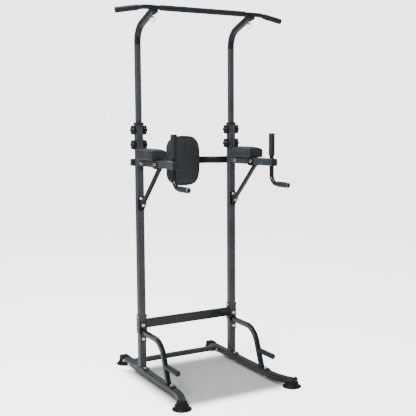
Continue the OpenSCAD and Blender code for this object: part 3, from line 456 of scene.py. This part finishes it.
def locking_knob(node):
    """A six-lobed knob with scalloped sides, a dished face with a hub, a waisted neck and its stud."""
    low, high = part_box(node)
    side = SIDES["left" if "left" in node else "right"]
    centre = Vector((side * upright_x, (low.y + high.y) / 2, (low.z + high.z) / 2))
    outward = 1 if (low.x + high.x) / 2 > centre.x else -1
    reach = max(abs(high.x - centre.x), abs(low.x - centre.x))
    tip = min(abs(high.x - centre.x), abs(low.x - centre.x))
    scallop, scallop_at, follow, blend = 0.0093, 0.031, 0.75, 0.0045
    sixth, never = math.pi / 3, KNOB_RADIUS + 0.004
    head = reach - KNOB_DEPTH
    rows = [(tip, 0.0045, 0), (tip + 0.0006, 0.005, 0), (head - 0.0052, 0.005, 0), (head - 0.0050, 0.0098, 0),
            (head - 0.0044, 0.0108, 0), (head - 0.0015, 0.0116, 0), (head, 0.0135, 0), (head + 0.0004, 0.019, 0.4),
            (head + 0.0008, 0.0235, 1), (head + 0.0018, 0.0262, 1), (head + 0.0036, 0.0277, 1),
            (head + 0.0060, 0.0280, 1), (head + 0.0130, 0.0280, 1), (head + 0.0158, 0.0275, 1),
            (head + 0.0176, 0.0261, 1), (head + 0.0186, 0.0241, 1), (head + 0.0190, 0.0220, 1),
            (head + 0.0186, 0.0195, 0.8), (head + 0.0176, 0.0165, 0.3), (head + 0.0172, 0.0135, 0),
            (head + 0.0174, 0.0112, 0), (head + 0.0196, 0.0104, 0), (head + 0.0206, 0.0092, 0),
            (head + 0.0210, 0.0070, 0)]
    bm = bmesh.new()
    rings = [[bm.verts.new(centre + Vector((outward * tip, 0.0, 0.0)))]]
    for height, radius, lobed in rows:
        ring = []
        for i in range(KNOB_STEPS):
            a = 2 * math.pi * i / KNOB_STEPS
            phi = (a + sixth / 2) % sixth - sixth / 2
            phi = abs(abs(phi) - sixth / 2)
            inside = scallop ** 2 - (scallop_at * math.sin(phi)) ** 2
            cut = min(scallop_at * math.cos(phi) - math.sqrt(inside), never) if inside > 0 else never
            waisted = soft_least(radius, cut - (KNOB_RADIUS - radius) * follow, blend)
            r = radius * (1 - lobed) + lobed * waisted
            ring.append(bm.verts.new(centre + Vector((outward * height, r * math.cos(a), r * math.sin(a)))))
        rings.append(ring)
    rings.append([bm.verts.new(centre + Vector((outward * (head + 0.0211), 0.0, 0.0)))])
    bridge(bm, rings)
    fitted(f"{node}_lobed", bm, KNOB_PLASTIC, node, node, hard=50.0)


for node in sorted(NODES):
    if node.startswith("knob_"):
        locking_knob(node)


# ---------------------------------------------------------------- rubber feet


TOE_ANGLE = 29.5                            # of the front feet's caps, which follow the rails outwards
CUP_RADIUS, CUP_TALL, CUP_STEPS = 0.0385, 0.027, 96
CAP_WIDE, CAP_TALL, CAP_LONG = 0.056, 0.045, {"front": 0.016, "rear": 0.052}
CAP_REACH, CAP_PROUD = 0.027, 0.0015        # ahead of the foot's centre; above the foot's CAD solid


def rubber_foot(end, side):
    """A suction foot: a lipped flange, a low waisted cup, and a ribbed cap closed over the rail's end."""
    node = f"foot_{end}_{side}"
    low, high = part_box(node)
    centre = Vector(((low.x + high.x) / 2, (low.y + high.y) / 2, 0.0))
    rim, cup, top = (high.x - low.x) / 2, CUP_RADIUS, CUP_TALL
    outline = [(0.0, 0.0030), (rim - 0.018, 0.0030), (rim - 0.012, 0.0018), (rim - 0.009, 0.0), (rim - 0.0012, 0.0),
               (rim, 0.0012), (rim, 0.0040), (rim - 0.0014, 0.0056), (rim - 0.0045, 0.0062), (rim - 0.0060, 0.0080),
               (rim - 0.0085, 0.0084), (rim - 0.0100, 0.0070), (cup + 0.0042, 0.0092), (cup + 0.0016, 0.0112),
               (cup + 0.0002, 0.0140), (cup - 0.0006, 0.0170), (cup - 0.0012, top - 0.0066),
               (cup - 0.0004, top - 0.0058), (cup - 0.0008, top - 0.0028), (cup - 0.0026, top - 0.0008),
               (cup - 0.0050, top - 0.0001), (cup - 0.012, top), (0.0, top)]
    bm = bmesh.new()
    lathe(bm, outline, centre, (0, 0, 1), CUP_STEPS)
    heading = math.radians(TOE_ANGLE if end == "front" else 180.0)
    ahead = Vector((SIDES[side] * math.sin(heading), -math.cos(heading), 0.0))
    across, long = ahead.cross(Vector((0, 0, 1))), CAP_LONG[end]
    middle = centre + ahead * (CAP_REACH - long) + Vector((0, 0, high.z + CAP_PROUD - CAP_TALL / 2))
    rows = [(0.0, 0.0026), (0.0, 0.0006), (0.0006, 0.0), (0.0036, 0.0), (0.0044, 0.0008), (0.0050, 0.0010)]
    if end == "rear":
        rows += [(at + d, inset) for at in (0.014, 0.024) for d, inset in
                 ((0.0, 0.0010), (0.0008, 0.0003), (0.0030, 0.0003), (0.0038, 0.0010))]
    rows += [(long - 0.0062, 0.0010), (long - 0.0044, 0.0014), (long - 0.0026, 0.0024), (long - 0.0012, 0.0042),
             (long - 0.0003, 0.0068), (long, 0.0100)]
    rings = []
    for at, inset in rows:
        rings.append([bm.verts.new(middle + ahead * at + across * x + Vector((0, 0, y)))
                      for x, y in rounded_section(CAP_WIDE - 2 * inset, CAP_TALL - 2 * inset,
                                                  max(0.012 - inset * 0.6, 0.004), 6)])
    rings.insert(0, [bm.verts.new(middle)])
    rings.append([bm.verts.new(middle + ahead * long)])
    bridge(bm, rings)
    fitted(f"{node}_boot", bm, RUBBER, "frame", node)


for end in CAP_LONG:
    for side in SIDES:
        rubber_foot(end, side)


# ---------------------------------------------------------------- bolts


HEAD, WASHER, NUT, THREAD = 0.0065, 0.0020, 0.0080, 0.0186     # heights along the bolt
PITCH, TURNS, PAST = 0.0013, 14, 0.0020                        # of the thread; its length that shows past the nut
COLLAR = 0.008                                                 # wider than any shank, narrower than any nut
NEAR = 0.0006                                                  # points this near to an end face are on it


def bolt_parts():
    """The pieces that every bolt is put together from, along +Z, each made once at its real size."""
    ridge = [(0.0, 0.0)]
    for k in range(TURNS):
        ridge += [(0.0050, PITCH * k + 0.0002), (0.00435, PITCH * k + 0.0008)]
    made = {}
    for name, outline, corners in (
            ("head", [(0.0, 0.0), (0.0075, 0.0), (0.0080, 0.0004), (0.0092, 0.0012), (0.0092, HEAD - 0.0003),
                      (0.0080, HEAD - 0.0003), (0.0078, HEAD), (0.0, HEAD)], 6),
            ("washer", [(0.0, 0.0), (0.0092, 0.0), (0.0099, 0.0006), (0.0099, 0.0015), (0.0094, WASHER),
                        (0.0, WASHER)], 40),
            ("nut", [(0.0, 0.0), (0.0080, 0.0), (0.0091, 0.0010), (0.0091, 0.0068), (0.0080, NUT),
                     (0.0052, NUT), (0.0, NUT)], 6),
            ("thread", ridge + [(0.0042, THREAD), (0.0, THREAD)], 24)):
        bm = bmesh.new()
        lathe(bm, outline, (0, 0, 0), (0, 0, 1), corners)
        bmesh.ops.recalc_face_normals(bm, faces=bm.faces)
        mesh = bpy.data.meshes.new(f"bolt_{name}")
        bm.to_mesh(mesh)
        bm.free()
        made[name] = bpy.data.objects.new(f"bolt_{name}", mesh)
    return made


def bolt_places(node):
    """(part, place, way) for each head, washer, nut and thread of the bolts in a CAD node."""
    def off_axis(point):
        """How far a point lies from the bolt's own axis."""
        return Vector([0 if k == axis else point[k] - centre[k] for k in range(3)]).length

    places = []
    for group in islands(node):
        low = Vector([min(p[k] for p in group) for k in range(3)])
        high = Vector([max(p[k] for p in group) for k in range(3)])
        size = high - low
        axis = max(range(3), key=lambda k: size[k])
        centre = (low + high) / 2
        wide = {}
        for end in (-1, 1):
            limit = high[axis] if end > 0 else low[axis]
            wide[end] = max(off_axis(p) for p in group if abs(p[axis] - limit) < NEAR)
        head_end = -1 if wide[-1] > wide[1] else 1
        way = Vector([-head_end if k == axis else 0 for k in range(3)])
        start = centre.copy()
        start[axis] = high[axis] if head_end > 0 else low[axis]
        length = size[axis]
        places += [("head", start, way), ("washer", start + way * HEAD, way)]
        if max(abs(p[axis] - start[axis]) for p in group if off_axis(p) > COLLAR) > PAST + NUT + WASHER:
            places += [("washer", start + way * (length - PAST - NUT - WASHER), way),
                       ("nut", start + way * (length - PAST - NUT), way),
                       ("thread", start + way * (length - THREAD), way)]
    return places


def bolt_tree():
    """Geometry Nodes: puts one part of a bolt on each point, turned to the point's own way."""
    tree = bpy.data.node_groups.new("bolts_on_points", "GeometryNodeTree")
    face = tree.interface
    face.new_socket("Geometry", in_out="INPUT", socket_type="NodeSocketGeometry")
    part = face.new_socket("Part", in_out="INPUT", socket_type="NodeSocketObject")
    size = face.new_socket("Size", in_out="INPUT", socket_type="NodeSocketFloat")
    size.default_value = 1.0
    metal = face.new_socket("Metal", in_out="INPUT", socket_type="NodeSocketMaterial")
    face.new_socket("Geometry", in_out="OUTPUT", socket_type="NodeSocketGeometry")
    add, join = tree.nodes.new, tree.links.new
    given, made = add("NodeGroupInput"), add("NodeGroupOutput")
    way = add("GeometryNodeInputNamedAttribute")
    way.data_type = "FLOAT_VECTOR"
    way.inputs["Name"].default_value = "way"
    turn = add("FunctionNodeAlignRotationToVector")
    turn.axis = "Z"
    join(way.outputs["Attribute"], turn.inputs["Vector"])
    shape = add("GeometryNodeObjectInfo")
    join(given.outputs["Part"], shape.inputs["Object"])
    put = add("GeometryNodeInstanceOnPoints")
    join(given.outputs["Geometry"], put.inputs["Points"])
    join(shape.outputs["Geometry"], put.inputs["Instance"])
    join(turn.outputs["Rotation"], put.inputs["Rotation"])
    join(given.outputs["Size"], put.inputs["Scale"])
    real = add("GeometryNodeRealizeInstances")
    join(put.outputs["Instances"], real.inputs["Geometry"])
    paint = add("GeometryNodeSetMaterial")
    join(real.outputs["Geometry"], paint.inputs["Geometry"])
    join(given.outputs["Metal"], paint.inputs["Material"])
    join(paint.outputs["Geometry"], made.inputs["Geometry"])
    return tree, {"Part": part.identifier, "Size": size.identifier, "Metal": metal.identifier}


def scattered(tree, inputs, places, values, name):
    """Runs a tree over places with their ways, and gives the mesh that comes out."""
    mesh = bpy.data.meshes.new(name)
    mesh.from_pydata([tuple(p) for _, p, _ in places], [], [])
    ways = mesh.attributes.new("way", "FLOAT_VECTOR", "POINT")
    ways.data.foreach_set("vector", [c for _, _, w in places for c in w])
    carrier = bpy.data.objects.new(name, mesh)
    bpy.context.scene.collection.objects.link(carrier)
    modifier = carrier.modifiers.new("places", "NODES")
    modifier.node_group = tree
    for socket, value in values.items():
        modifier[inputs[socket]] = value
    bpy.context.view_layer.update()
    made = bpy.data.meshes.new_from_object(carrier.evaluated_get(bpy.context.evaluated_depsgraph_get()))
    bpy.data.objects.remove(carrier)
    return made


def bolt_set(node):
    """All bolts of a CAD node as one piece."""
    bm = bmesh.new()
    places = bolt_places(node)
    for part, shape in BOLT_PARTS.items():
        chosen = [p for p in places if p[0] == part]
        if chosen:
            bm.from_mesh(scattered(BOLT_TREE, BOLT_INPUTS, chosen,
                                   {"Part": shape, "Size": 1.0, "Metal": ZINC}, f"{node}_{part}"))
    fitted(f"{node}_detailed", bm, ZINC, BODY_OF[node], node, hard=25.0)


BOLT_PARTS = bolt_parts()
BOLT_TREE, BOLT_INPUTS = bolt_tree()
for node in ("base_bolts", "beam_bolts", "arm_bolts", "backrest_bolts"):
    bolt_set(node)


# ---------------------------------------------------------------- upholstery


def applied(piece, kind, **settings):
    """The piece's mesh with a modifier of this kind applied to it."""
    modifier = piece.modifiers.new("step", kind)
    for name, value in settings.items():
        setattr(modifier, name, value)
    mesh = bpy.data.meshes.new_from_object(piece.evaluated_get(bpy.context.evaluated_depsgraph_get()))
    piece.modifiers.clear()
    piece.data = mesh


CLOTH_FRAMES = 20


def swollen(piece, held, most):
    """Inflates the piece as cloth over its filling, no point further than most; those that held(co) names stay."""
    before = [v.co.copy() for v in piece.data.vertices]
    group = piece.vertex_groups.new(name="held")
    group.add([i for i, co in enumerate(before) if held(co)], 1.0, "REPLACE")
    cloth = piece.modifiers.new("cloth", "CLOTH")
    cloth.settings.quality = 5
    cloth.settings.mass = 0.25
    cloth.settings.tension_stiffness = cloth.settings.compression_stiffness = 18.0
    cloth.settings.bending_stiffness = 0.6
    cloth.settings.use_pressure = True
    cloth.settings.uniform_pressure_force = 4.0
    cloth.settings.effector_weights.gravity = 0.0
    cloth.settings.vertex_group_mass = "held"
    cloth.point_cache.frame_start, cloth.point_cache.frame_end = 1, CLOTH_FRAMES
    for at in range(1, CLOTH_FRAMES + 1):
        bpy.context.scene.frame_set(at)
    after = piece.evaluated_get(bpy.context.evaluated_depsgraph_get()).data
    moved = [v.co.copy() for v in after.vertices]
    piece.modifiers.clear()
    piece.vertex_groups.clear()
    for vert, old, new in zip(piece.data.vertices, before, moved):
        step = new - old
        vert.co = old + step * (most / (most + step.length))
    bpy.context.scene.frame_set(1)


def sewn(piece, lines, width, depth):
    """Draws the skin in along sewn lines, in a groove of this width and depth."""
    tree = kdtree.KDTree(sum(len(line) for line in lines))
    for i, point in enumerate(p for line in lines for p in line):
        tree.insert(point, i)
    tree.balance()
    mesh = piece.data
    normals = [v.normal.copy() for v in mesh.vertices]
    for vert, normal in zip(mesh.vertices, normals):
        away = tree.find(vert.co)[2]
        if away < width:
            vert.co -= normal * depth * (1 - (away / width) ** 2) ** 2
    mesh.update()


def on_skin(piece, line, spacing=0.003):
    """A closed line laid on the piece's skin, with a point every few millimetres."""
    mesh = piece.data
    skin = BVHTree.FromPolygons([v.co for v in mesh.vertices], [list(p.vertices) for p in mesh.polygons])
    dense = []
    for a, b in zip(line, line[1:] + line[:1]):
        count = max(1, round((b - a).length / spacing))
        dense += [a.lerp(b, k / count) for k in range(count)]
    return [skin.find_nearest(p)[0] for p in dense]


def cord_along(bm, line, radius, ripple=0.0, pitch=0.0045, sides=8):
    """A closed round bead along a closed line, its radius rippled as a welt or a weld is."""
    count = len(line)
    rings, run, across = [], 0.0, None
    for i, point in enumerate(line):
        way = (line[(i + 1) % count] - line[i - 1]).normalized()
        if across is None:
            across = way.orthogonal()
        across = (across - way * across.dot(way)).normalized()
        other = way.cross(across)
        r = radius * (1 + ripple * math.sin(2 * math.pi * run / pitch))
        run += (line[(i + 1) % count] - point).length
        rings.append([bm.verts.new(point + across * (r * math.cos(a)) + other * (r * math.sin(a)))
                      for a in (2 * math.pi * k / sides for k in range(sides))])
    for low, high in zip(rings, rings[1:]):
        for k in range(sides):
            bm.faces.new((low[k], low[(k + 1) % sides], high[(k + 1) % sides], high[k]))
    # the rings turn a little on their way round, so the last is matched to the first
    last, first = rings[-1], rings[0]
    shift = min(range(sides), key=lambda s: sum((last[(k + s) % sides].co - first[k].co).length
                                                for k in range(sides)))
    for k in range(sides):
        bm.faces.new((last[(k + shift) % sides], last[(k + 1 + shift) % sides], first[(k + 1) % sides], first[k]))


ROOM = 0.0016                       # left all round for the filling to swell into
HELD, SWELL = 0.006, 0.0035         # depth of cover held at the board; most that the rest may swell
FULLNESS = 2.4                      # how soon the crown rises behind its rolled edge


def upholstered(node, outline, height, crown, edge, seams):
    """A pad with sides, a rolled edge and a crowned top, each a ring of points that outline(inset, up) gives."""
    rings = [outline(0.010, 0.0), outline(0.0035, 0.0), outline(0.0022, 0.0015), outline(ROOM, 0.005)]
    rings += [outline(ROOM, up) for up in (height * 0.35, height * 0.7)]
    rings += [outline(ROOM + edge * (1 - math.cos(a)), height - edge + edge * math.sin(a))
              for a in (math.radians(d) for d in (0, 22, 45, 68, 90))]
    inner = ROOM + edge
    rings += [outline(inner + part * seams["reach"], height + crown * (1 - (1 - part) ** FULLNESS))
              for part in (0.12, 0.28, 0.46, 0.66, 0.86)]
    bm = bmesh.new()
    made = [[bm.verts.new(p) for p in ring] for ring in rings]
    poles = [[bm.verts.new(sum(outline(inner + seams["reach"] * 0.9, up), Vector()) / len(rings[0]))]
             for up in (0.0, height + crown)]
    bridge(bm, [poles[0], *made, poles[1]])
    bmesh.ops.recalc_face_normals(bm, faces=bm.faces)
    mesh = bpy.data.meshes.new(f"{node}_upholstered")
    bm.to_mesh(mesh)
    bm.free()
    piece = bpy.data.objects.new(f"{node}_upholstered", mesh)
    bpy.context.scene.collection.objects.link(piece)
    applied(piece, "REMESH", mode="VOXEL", voxel_size=0.0045)
    swollen(piece, seams["held"], SWELL)
    applied(piece, "SMOOTH", factor=0.5, iterations=3)
    applied(piece, "SUBSURF", levels=1, render_levels=1)
    lines = [on_skin(piece, line) for line in seams["lines"]]
    sewn(piece, lines, width=0.0075, depth=0.0022)
    piece.data.shade_smooth()
    piece.data.materials.clear()
    piece.data.materials.append(VINYL)
    settled(piece, BODY_OF[node], node)
    bm = bmesh.new()
    for line in lines:
        cord_along(bm, line, radius=0.0015)
    welt = fitted(f"{node}_welt", bm, VINYL, BODY_OF[node], hard=60.0)


def arm_pad(side):
    """Box pad on an arm, with a welt round its top panel."""
    node = f"arm_pad_{side}"
    low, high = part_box(node)
    centre, width, length = (low + high) / 2, high.x - low.x, high.y - low.y
    height, crown, edge, corner = 0.050, 0.0105, 0.0042, 0.009

    def outline(inset, up):
        w, l = max(width - 2 * inset, 0.002), max(length - 2 * inset, 0.004)
        return [Vector((centre.x + x, centre.y + y, low.z + up))
                for x, y in rounded_section(w, l, min(max(corner - inset, 0.0008), w / 2.1), 4)]

    panel = outline(inset=0.0034, up=height - 0.0022)
    upholstered(node, outline, height, crown, edge,
                {"reach": width / 2 - ROOM - edge, "lines": [panel], "held": lambda co: co.z < low.z + HELD})


def backrest():
    """Crowned back pad with a rolled edge, its boxing sewn to the front panel all round."""
    low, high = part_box("backrest_pad")
    centre, half_w, half_h, depth = (low + high) / 2, (high.x - low.x) / 2, (high.z - low.z) / 2, high.y - low.y
    height, crown, edge, power, steps = depth - 0.0125, 0.0095, 0.0095, 3.4, 72

    def outline(inset, up):
        points = []
        for k in range(steps):
            a = 2 * math.pi * k / steps
            c, s = math.cos(a), math.sin(a)
            r = (abs(c) ** power + abs(s) ** power) ** (-1 / power)
            points.append(Vector((centre.x + (half_w - inset) * r * c, high.y - up,
                                  centre.z + (half_h - inset) * r * s)))
        return points

    panel = outline(inset=0.0095, up=height - 0.002)
    upholstered("backrest_pad", outline, height, crown, edge,
                {"reach": half_w - ROOM - edge - 0.004, "lines": [panel],
                 "held": lambda co: co.y > high.y - HELD})


for side in SIDES:
    arm_pad(side)
backrest()


# ---------------------------------------------------------------- crossbar, plugs, tube ends and welds


UP, FORWARD, SIDEWAYS = Vector((0, 0, 1)), Vector((0, -1, 0)), Vector((1, 0, 0))
PLUG_RIM, PLUG_INSERT = 0.004, 0.008    # what stands outside the tube, and inside it
REST_PLATE = 0.120, 0.110, 0.004        # width, height and thickness of the backrest's plate


def bent_crossbar():
    """The bow-shaped square tube behind the uprights, bent smoothly, with the backrest's plate on its middle."""
    low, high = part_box("backrest_crossbar")
    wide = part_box("crossbar_caps")[1].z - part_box("crossbar_caps")[0].z
    height = (low.z + high.z) / 2
    end_x, end_y = high.x, low.y + wide / 2
    back, bend, turn, half = 0.046, 0.050, math.radians(45), 0.165
    straight = (back - 2 * bend * (1 - math.cos(turn))) / math.sin(turn)
    shift = 2 * bend * math.sin(turn) + straight * math.cos(turn)
    steps = [turn * k / 10 for k in range(11)]
    line = [((0.0, back), 0.0)]
    line += [((half + bend * math.sin(a), back - bend + bend * math.cos(a)), a) for a in steps]
    line += [((half + shift - bend * math.sin(a), bend - bend * math.cos(a)), a) for a in reversed(steps)]
    line += [((end_x, 0.0), 0.0)]
    full = [((-x, y), -a) for (x, y), a in reversed(line[1:])] + line
    section = rounded_section(wide, wide, 0.0042, 5)
    bm = bmesh.new()
    rings = []
    for (x, y), a in full:
        across = Vector((math.sin(a), math.cos(a), 0.0))
        at = Vector((x, end_y + y, height))
        rings.append([bm.verts.new(at + across * u + Vector((0, 0, v))) for u, v in section])
    rings.insert(0, [bm.verts.new(Vector((-end_x, end_y, height)))])
    rings.append([bm.verts.new(Vector((end_x, end_y, height)))])
    bridge(bm, rings)
    plate(bm, Vector((0.0, end_y + back - wide / 2, height)), FORWARD, *REST_PLATE)
    fitted("backrest_crossbar_bent", bm, DARK_COAT, "frame", "backrest_crossbar", hard=30.0)


def plate(bm, centre, way, width, height, thick, corner=0.008):
    """A flat plate with round corners and broken edges, standing from its centre along way."""
    across = UP.cross(way).normalized()
    up = way.cross(across)
    rings = []
    for at, inset in ((0.0, 0.0006), (0.0006, 0.0), (thick - 0.0008, 0.0), (thick - 0.0002, 0.0003), (thick, 0.0009)):
        rings.append([bm.verts.new(centre + way * at + across * u + up * v) for u, v in
                      rounded_section(width - 2 * inset, height - 2 * inset, corner, 5)])
    rings.insert(0, [bm.verts.new(centre)])
    rings.append([bm.verts.new(centre + way * thick)])
    bridge(bm, rings)


def tube_plug(bm, mouth, way, size, corner, wall):
    """A moulded end plug: an insert in the tube, then a rim with a soft edge and a slightly dished face."""
    rim, insert = PLUG_RIM, PLUG_INSERT
    across = UP.cross(way).normalized()
    up = way.cross(across)
    inner = wall + 0.0001
    rows = [(-insert, inner + 0.0016), (-insert + 0.0012, inner + 0.0003), (-0.0034, inner + 0.0003),
            (-0.0030, inner), (-0.0012, inner), (-0.0008, inner + 0.0006), (0.0, inner + 0.0006), (0.0, 0.0003),
            (0.0004, 0.0), (rim * 0.45, 0.0), (rim * 0.72, 0.0005), (rim * 0.90, 0.0014), (rim, 0.0030),
            (rim - 0.0002, 0.0052), (rim - 0.0007, 0.0064), (rim - 0.0008, 0.0100)]
    rings = [[bm.verts.new(mouth - way * insert)]]
    for at, inset in rows:
        rings.append([bm.verts.new(mouth + way * at + across * u + up * v) for u, v in
                      rounded_section(size - 2 * inset, size - 2 * inset, max(corner - inset * 0.5, 0.0012), 5)])
    rings.append([bm.verts.new(mouth + way * (rim - 0.0006))])
    bridge(bm, rings)


def plugs():
    """Two end plugs of the arms, one piece each, and both caps of the crossbar as one piece."""
    for side in SIDES:
        low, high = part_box(f"arm_plug_{side}")
        bm = bmesh.new()
        tube_plug(bm, Vector(((low.x + high.x) / 2, low.y + PLUG_RIM, (low.z + high.z) / 2)), FORWARD,
                  high.x - low.x, corner=0.005, wall=0.0018)
        fitted(f"arm_plug_{side}_moulded", bm, PLASTIC, "frame", f"arm_plug_{side}")
    low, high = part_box("crossbar_caps")
    bm = bmesh.new()
    for sign in SIDES.values():
        tube_plug(bm, Vector((sign * (high.x - PLUG_RIM), (low.y + high.y) / 2, (low.z + high.z) / 2)),
                  Vector((sign, 0, 0)), high.z - low.z, corner=0.004, wall=0.0015)
    fitted("crossbar_caps_moulded", bm, PLASTIC, "frame", "crossbar_caps")


def tube_end_rings():
    """Bare steel rims round the plugs in the ends of the lower grips."""
    bm = bmesh.new()
    for side in SIDES:
        low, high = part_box(f"lower_grip_{side}")
        end = Vector(((low.x + high.x) / 2, low.y - 0.0001, (low.z + high.z) / 2))
        rim = [(0.0096, -0.0012), (0.0120, -0.0012), (0.0122, -0.0002), (0.0119, 0.0002), (0.0099, 0.0002),
               (0.0096, -0.0001), (0.0096, -0.0012)]
        lathe(bm, rim, end, FORWARD, 40)
    piece = fitted("lower_tube_end_rims", bm, ZINC, "frame")


def ring_line(centre, way, outline, spacing=0.0011):
    """A closed line of close points in the plane across way, from the (u, v) corners of an outline."""
    across = UP.cross(way)
    across = across.normalized() if across.length > 0.1 else SIDEWAYS
    up = way.cross(across)
    dense = []
    for (u0, v0), (u1, v1) in zip(outline, outline[1:] + outline[:1]):
        count = max(1, round(math.hypot(u1 - u0, v1 - v0) / spacing))
        dense += [centre + across * (u0 + (u1 - u0) * k / count) + up * (v0 + (v1 - v0) * k / count)
                  for k in range(count)]
    return dense


BEAM_Z, BRACE_Z = 0.312, 0.267          # middles of the crossbeam and of the curved braces' upper ends
UPRIGHT, WELD_PLATE = 0.040, 0.004      # the uprights' square tube; thickness of a plate welded to a tube
PROUD, BEAD_RIPPLE = 0.0002, 0.20       # how far a bead's middle stands off its plate or arm
HANDLE_BEAD, TUBE_BEAD = 0.0131, 0.0003     # radius of a bead round a handle; how far one stands off a square tube


def welds():
    """Rippled beads where tubes are welded to plates and handles to arms, each of its own radius."""
    bm = bmesh.new()
    bar_low, bar_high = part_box("rear_floor_bar")
    bar_y, bar_z = (bar_low.y + bar_high.y) / 2, (bar_low.z + bar_high.z) / 2
    end_x, foot_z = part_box("lower_crossbeam")[1].x - WELD_PLATE - PROUD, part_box("base_rail_right")[1].z + WELD_PLATE
    brace_y = upright_y - UPRIGHT / 2 - WELD_PLATE
    handle = [(HANDLE_BEAD * math.cos(a), HANDLE_BEAD * math.sin(a))
              for a in (2 * math.pi * k / 40 for k in range(40))]

    def tube(width, height, corner, steps=4):
        """The line of a bead round a tube of this section."""
        return rounded_section(width + 2 * TUBE_BEAD, height + 2 * TUBE_BEAD, corner, steps)

    for side, sign in SIDES.items():
        arm_low, arm_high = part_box(f"arm_{side}")
        grip_low, grip_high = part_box(f"dip_grip_{side}")
        handle_x, handle_y = (grip_low.x + grip_high.x) / 2, (grip_low.y + grip_high.y) / 2
        for place, way, outline, radius in (
                ((handle_x, handle_y, arm_low.z - PROUD), UP, handle, 0.0017),
                ((handle_x, handle_y, arm_high.z + PROUD), UP, handle, 0.0017),
                ((sign * upright_x, upright_y, foot_z), UP, tube(UPRIGHT, UPRIGHT, 0.005), 0.0019),
                ((sign * upright_x, brace_y, BRACE_Z), FORWARD, tube(0.026, 0.026, 0.004), 0.0017),
                ((sign * end_x, bar_y, bar_z), SIDEWAYS, tube(0.040, 0.030, 0.013, 6), 0.0015),
                ((sign * end_x, upright_y, BEAM_Z), SIDEWAYS, tube(0.032, 0.050, 0.005), 0.0017)):
            cord_along(bm, ring_line(Vector(place), way, outline), radius, BEAD_RIPPLE)
    piece = fitted("frame_weld_beads", bm, COAT, "frame", hard=60.0)


bent_crossbar()
plugs()
tube_end_rings()
welds()


# ---------------------------------------------------------------- camera, floor and light


AMBIENT, BACKDROP, FLOOR_GLOW = 0.34, 3.4, 2.95     # light on the object; what the camera sees round it
WHITE, SHADE = (0.93, 0.93, 0.93), (0.42, 0.42, 0.42)
SHADE_Y, SHADE_ACROSS, SHADE_ALONG = -0.06, (0.30, 0.42), (0.28, 0.44)      # where the patch of shade fades out
AIM = Vector((0.0, 0.0, 1.0))
LIGHTS = (("key", (-2.5, -1.5, 3.2), 1.5, 170.0), ("fill", (4.2, -2.4, 2.6), 3.0, 8.0),     # place, size, power
          ("top", (-0.6, 0.2, 5.0), 1.6, 150.0), ("back", (0.5, 4.0, 3.6), 3.0, 40.0))


def studio():
    """A white floor with a soft patch of shade between the rails, and a white studio round it."""
    bpy.ops.mesh.primitive_plane_add(size=60.0, location=(0.0, 0.0, -0.0005))
    floor = bpy.context.object
    floor.name = "studio_floor"
    f = Finish("white_floor", WHITE, 0.8, specular=0.0)
    axis = f.node("ShaderNodeSeparateXYZ")
    f.link(f.place.outputs["Object"], axis.inputs["Vector"])
    x = f.maths("ABSOLUTE", axis.outputs["X"], 0.0)
    y = f.maths("ABSOLUTE", f.maths("SUBTRACT", axis.outputs["Y"], SHADE_Y), 0.0)
    open_floor = f.maths("MAXIMUM", f.soft_range(x, *SHADE_ACROSS), f.soft_range(y, *SHADE_ALONG))
    f.colour(f.mix(open_floor, SHADE, WHITE))
    seen = f.node("ShaderNodeLightPath").outputs["Is Camera Ray"]
    f.shader.inputs["Emission Color"].default_value = (1.0, 1.0, 1.0, 1.0)
    glow = f.maths("MULTIPLY", f.maths("MULTIPLY", seen, open_floor), FLOOR_GLOW)
    f.link(glow, f.shader.inputs["Emission Strength"])
    floor.data.materials.append(f.material)
    world = bpy.data.worlds.new("studio_white")
    bpy.context.scene.world = world
    world.use_nodes = True
    tree = world.node_tree
    soft = tree.nodes["Background"]
    soft.inputs["Strength"].default_value = AMBIENT
    bright = tree.nodes.new("ShaderNodeBackground")
    bright.inputs["Strength"].default_value = BACKDROP
    for sky in (soft, bright):
        sky.inputs["Color"].default_value = (1.0, 1.0, 1.0, 1.0)
    seen, either = tree.nodes.new("ShaderNodeLightPath"), tree.nodes.new("ShaderNodeMixShader")
    for source, target in ((seen.outputs["Is Camera Ray"], either.inputs["Fac"]),
                           (soft.outputs["Background"], either.inputs[1]),
                           (bright.outputs["Background"], either.inputs[2]),
                           (either.outputs["Shader"], tree.nodes["World Output"].inputs["Surface"])):
        tree.links.new(source, target)
    for name, place, size, power in LIGHTS:
        light = bpy.data.lights.new(name, "AREA")
        light.energy, light.size = power, size
        lamp = bpy.data.objects.new(name, light)
        lamp.location = place
        lamp.rotation_euler = (AIM - Vector(place)).to_track_quat("-Z", "Y").to_euler()
        bpy.context.scene.collection.objects.link(lamp)


EYE = (-2.06909, -3.82224, 1.47039)
BEARING, TILT, ROLL = -29.003, 6.411, -0.3045


def camera():
    """Looks at the tower from EYE, by bearing, tilt and roll in degrees."""
    bearing, tilt, roll = (math.radians(d) for d in (BEARING, TILT, ROLL))
    right = Vector((math.cos(bearing), math.sin(bearing), 0.0))
    ahead = Vector((-math.sin(bearing) * math.cos(tilt), math.cos(bearing) * math.cos(tilt), -math.sin(tilt)))
    up = right.cross(ahead)
    right, up = math.cos(roll) * right + math.sin(roll) * up, -math.sin(roll) * right + math.cos(roll) * up
    data = bpy.data.cameras.new("view")
    data.sensor_width, data.lens = 36.0, 65.917
    data.shift_x, data.shift_y = 0.0004, 0.0027
    data.clip_start, data.clip_end = 0.1, 200.0
    eye = bpy.data.objects.new("view", data)
    eye.matrix_world = Matrix.Translation(EYE) @ Matrix((right, up, -ahead)).transposed().to_4x4()
    bpy.context.scene.collection.objects.link(eye)
    bpy.context.scene.camera = eye


studio()
camera()
